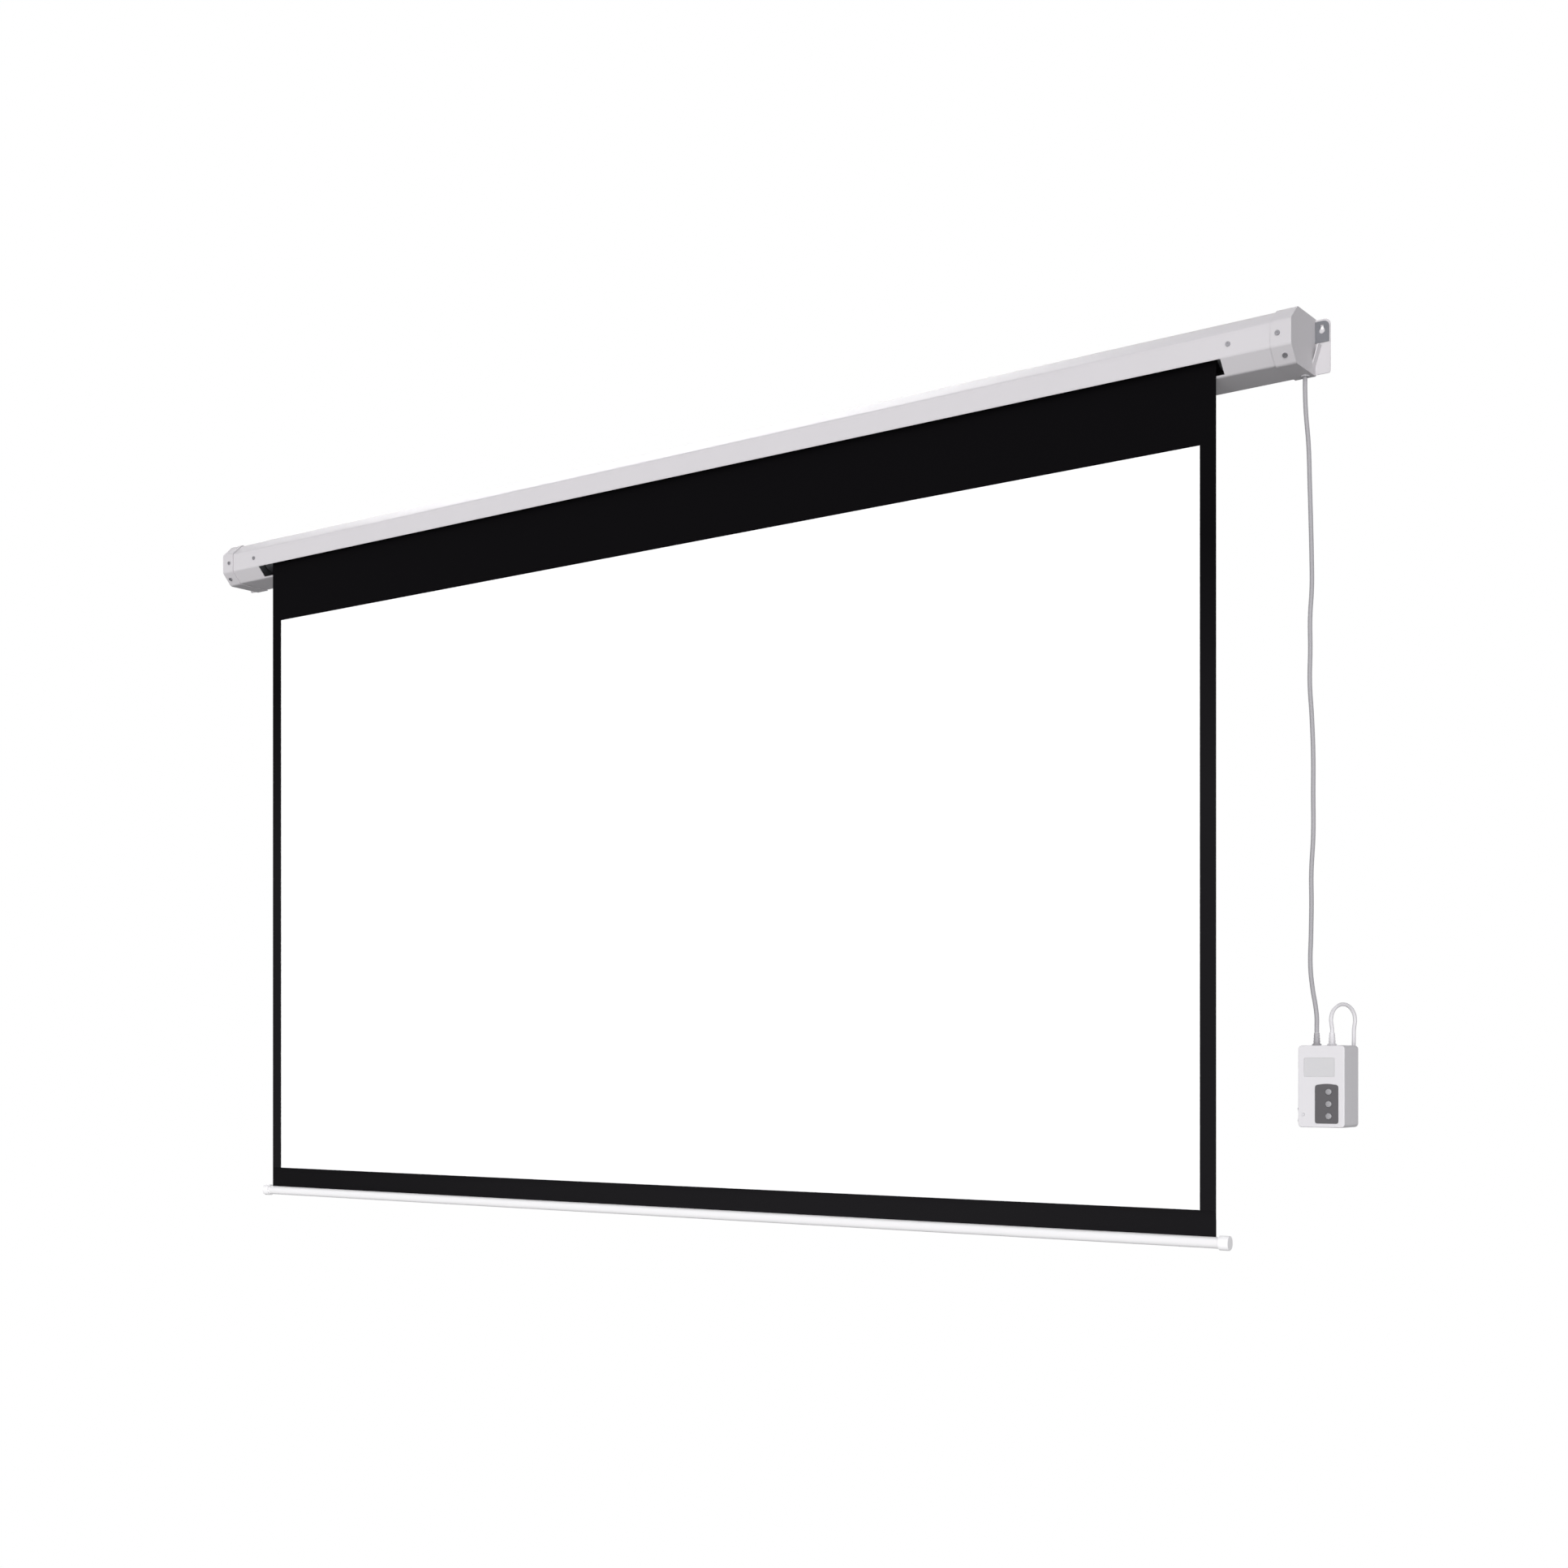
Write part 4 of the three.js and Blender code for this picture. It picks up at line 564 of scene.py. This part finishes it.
hem_low, hem_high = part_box("fabric_hem")
front_y = (sheet_front + sheet_back) / 2
cloth_thickness = 0.0005
layer_gap = 0.00056
pocket_radius = 0.00275
pocket_lift = 0.003
pocket = Vector(((hem_low.y + hem_high.y) / 2, hem_low.z + pocket_lift))
foot_points = 17
round_foot = [
    (pocket.x - pocket_radius * math.cos(a), pocket.y - pocket_radius * math.sin(a))
    for a in np.linspace(0, math.pi, foot_points)
]
# The two layers part below the neck, and each swings out to its side of the pocket.
neck_drop, swing_drop = 0.044, 0.0012
front_neck, front_swing = front_y - 0.0001, front_y - 0.0012
back_neck, back_swing = front_y + 0.0006, front_y + 0.0017
hem_line = [
    (front_y, hem_high.z),
    (front_y, hem_high.z - neck_drop / 3),
    (front_y, hem_high.z - neck_drop * 2 / 3),
    (front_neck, hem_high.z - neck_drop),
    (front_swing, hem_high.z - neck_drop - swing_drop),
    *round_foot,
    (back_swing, hem_high.z - neck_drop - swing_drop),
    (back_neck, hem_high.z - neck_drop),
    (front_y + layer_gap, hem_high.z - neck_drop * 2 / 3),
    (front_y + layer_gap, hem_high.z - neck_drop / 3),
]
hem = band("sheet_hem", hem_line, cloth_thickness, (hem_low.x, hem_high.x), [matt_black], "bar")
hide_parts("fabric_hem")
spline_pvc = finish("white_extruded_pvc", "#E9E8EA", 0.5, grain_mm=2, depth_mm=0.03, IOR=1.53)
coat(spline_pvc, "hem_spline")
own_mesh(picture_sheet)


# Cloth left on the roller when the sheet is down: one turn of it, black and wound tight, that starts
# and ends at the front, where the sheet leaves.
roll_low, roll_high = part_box("fabric_roll")
roll_centre = ((roll_low.y + roll_high.y) / 2, (roll_low.z + roll_high.z) / 2)
roll_outer = (roll_high.z - roll_low.z) / 2
turn_thickness = 0.00046
turn_pitch = 0.0005
turn_steps = 72
spiral = []
for i in range(turn_steps + 1):
    radius = roll_outer - turn_thickness / 2 - turn_pitch * (1 - i / turn_steps)
    angle = math.pi - 2 * math.pi * i / turn_steps
    spiral.append((roll_centre[0] + radius * math.cos(angle), roll_centre[1] + radius * math.sin(angle)))
turns = band("wound_turns", spiral, turn_thickness, (roll_low.x, roll_high.x), [matt_black], "roller")
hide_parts("fabric_roll")


# Bottom bar: an oval aluminium extrusion, powder coated in a brighter white than the case, with a
# steel rod inside for weight and a slit along the top for the hem.
bar_powder = finish(
    "white_powder_coat_bar",
    "#F1F0F1",
    0.38,
    grain_mm=3,
    depth_mm=0.04,
    mottle=0.012,
    IOR=1.5,
)
coat(bar_powder, "bottom_bar")
rod_zinc = finish("zinc_plated_rod", "#94959A", 0.42, 1.0, grain_mm=6, depth_mm=0.03, mottle=0.2)
coat(rod_zinc, "bar_weight")


# Bar end caps: moulded ABS in a purer white, pushed over the bar's ends, glossier than the coat.
# The mould is polished, so the grain is faint.
bar_abs = finish(
    "white_abs_bar_cap",
    "#FCFBFC",
    0.32,
    grain_mm=3,
    depth_mm=0.03,
    mottle=0.012,
    IOR=1.54,
)
coat(bar_abs, "bar_cap_left", "bar_cap_right")


# Control box: two moulded ABS shells, screwed together from the back, with a fine spark grain,
# and a tapered PVC relief for each cord.
box_abs = finish("white_abs_box", "#DCDADD", 0.5, grain_mm=3, depth_mm=0.07, mottle=0.02, IOR=1.54)
coat(box_abs, "box_cover", "box_back", "mains_strain_relief")
coat(grey_sheath, "motor_strain_relief")


# Button panel: a dark grey polycarbonate plate let into the cover, and three grey ABS buttons that
# stand through it. A small lamp sits beside it, unlit behind a pale lens.
panel_polycarbonate = finish(
    "grey_polycarbonate",
    "#555356",
    0.42,
    grain_mm=2,
    depth_mm=0.04,
    mottle=0.04,
    IOR=1.58,
)
coat(panel_polycarbonate, "button_panel")
button_abs = finish("grey_abs_button", "#9B9A9D", 0.4, grain_mm=2, depth_mm=0.03, mottle=0.03, IOR=1.54)
coat(button_abs, "button_up", "button_stop", "button_down")
lamp_lens = finish(
    "pale_acrylic_lens",
    "#DAD9DC",
    0.15,
    grain_mm=3,
    depth_mm=0.01,
    mottle=0.05,
    IOR=1.49,
)
coat(lamp_lens, "indicator_lamp")


# Label plate: a blank sheet of pale grey polyester, bonded into its recess in the cover. Its face is
# satin, a shade darker than the box.
label_polyester = finish(
    "blank_grey_polyester",
    "#CDCCCE",
    0.4,
    grain_mm=2,
    depth_mm=0.02,
    mottle=0.02,
    IOR=1.57,
)
coat(label_polyester, "label_plate")


# Board and what stands on it: glass-epoxy laminate under a green lacquer, a moulded green terminal
# block and two blue relays.
lacquered_laminate = finish(
    "green_lacquered_laminate",
    "#2C6A45",
    0.38,
    grain_mm=1.5,
    depth_mm=0.02,
    mottle=0.1,
)
coat(lacquered_laminate, "circuit_board")
terminal_nylon = finish(
    "green_terminal_nylon",
    "#3A8A58",
    0.48,
    grain_mm=2,
    depth_mm=0.03,
    mottle=0.05,
    IOR=1.53,
)
coat(terminal_nylon, "terminal_block")
relay_blue = finish(
    "blue_relay_cover",
    "#2D5FA8",
    0.35,
    grain_mm=2,
    depth_mm=0.02,
    mottle=0.05,
    IOR=1.53,
)
coat(relay_blue, "relay_up", "relay_down")


# Lead inside the case: the same grey sheath, from the motor's head to the collar, which is turned
# from light grey nylon.
coat(grey_sheath, "motor_lead_inner", degrees=50)
collar_nylon = finish(
    "light_grey_nylon",
    "#C4C3C6",
    0.45,
    grain_mm=2,
    depth_mm=0.04,
    mottle=0.04,
    IOR=1.53,
)
coat(collar_nylon, "lead_grommet")
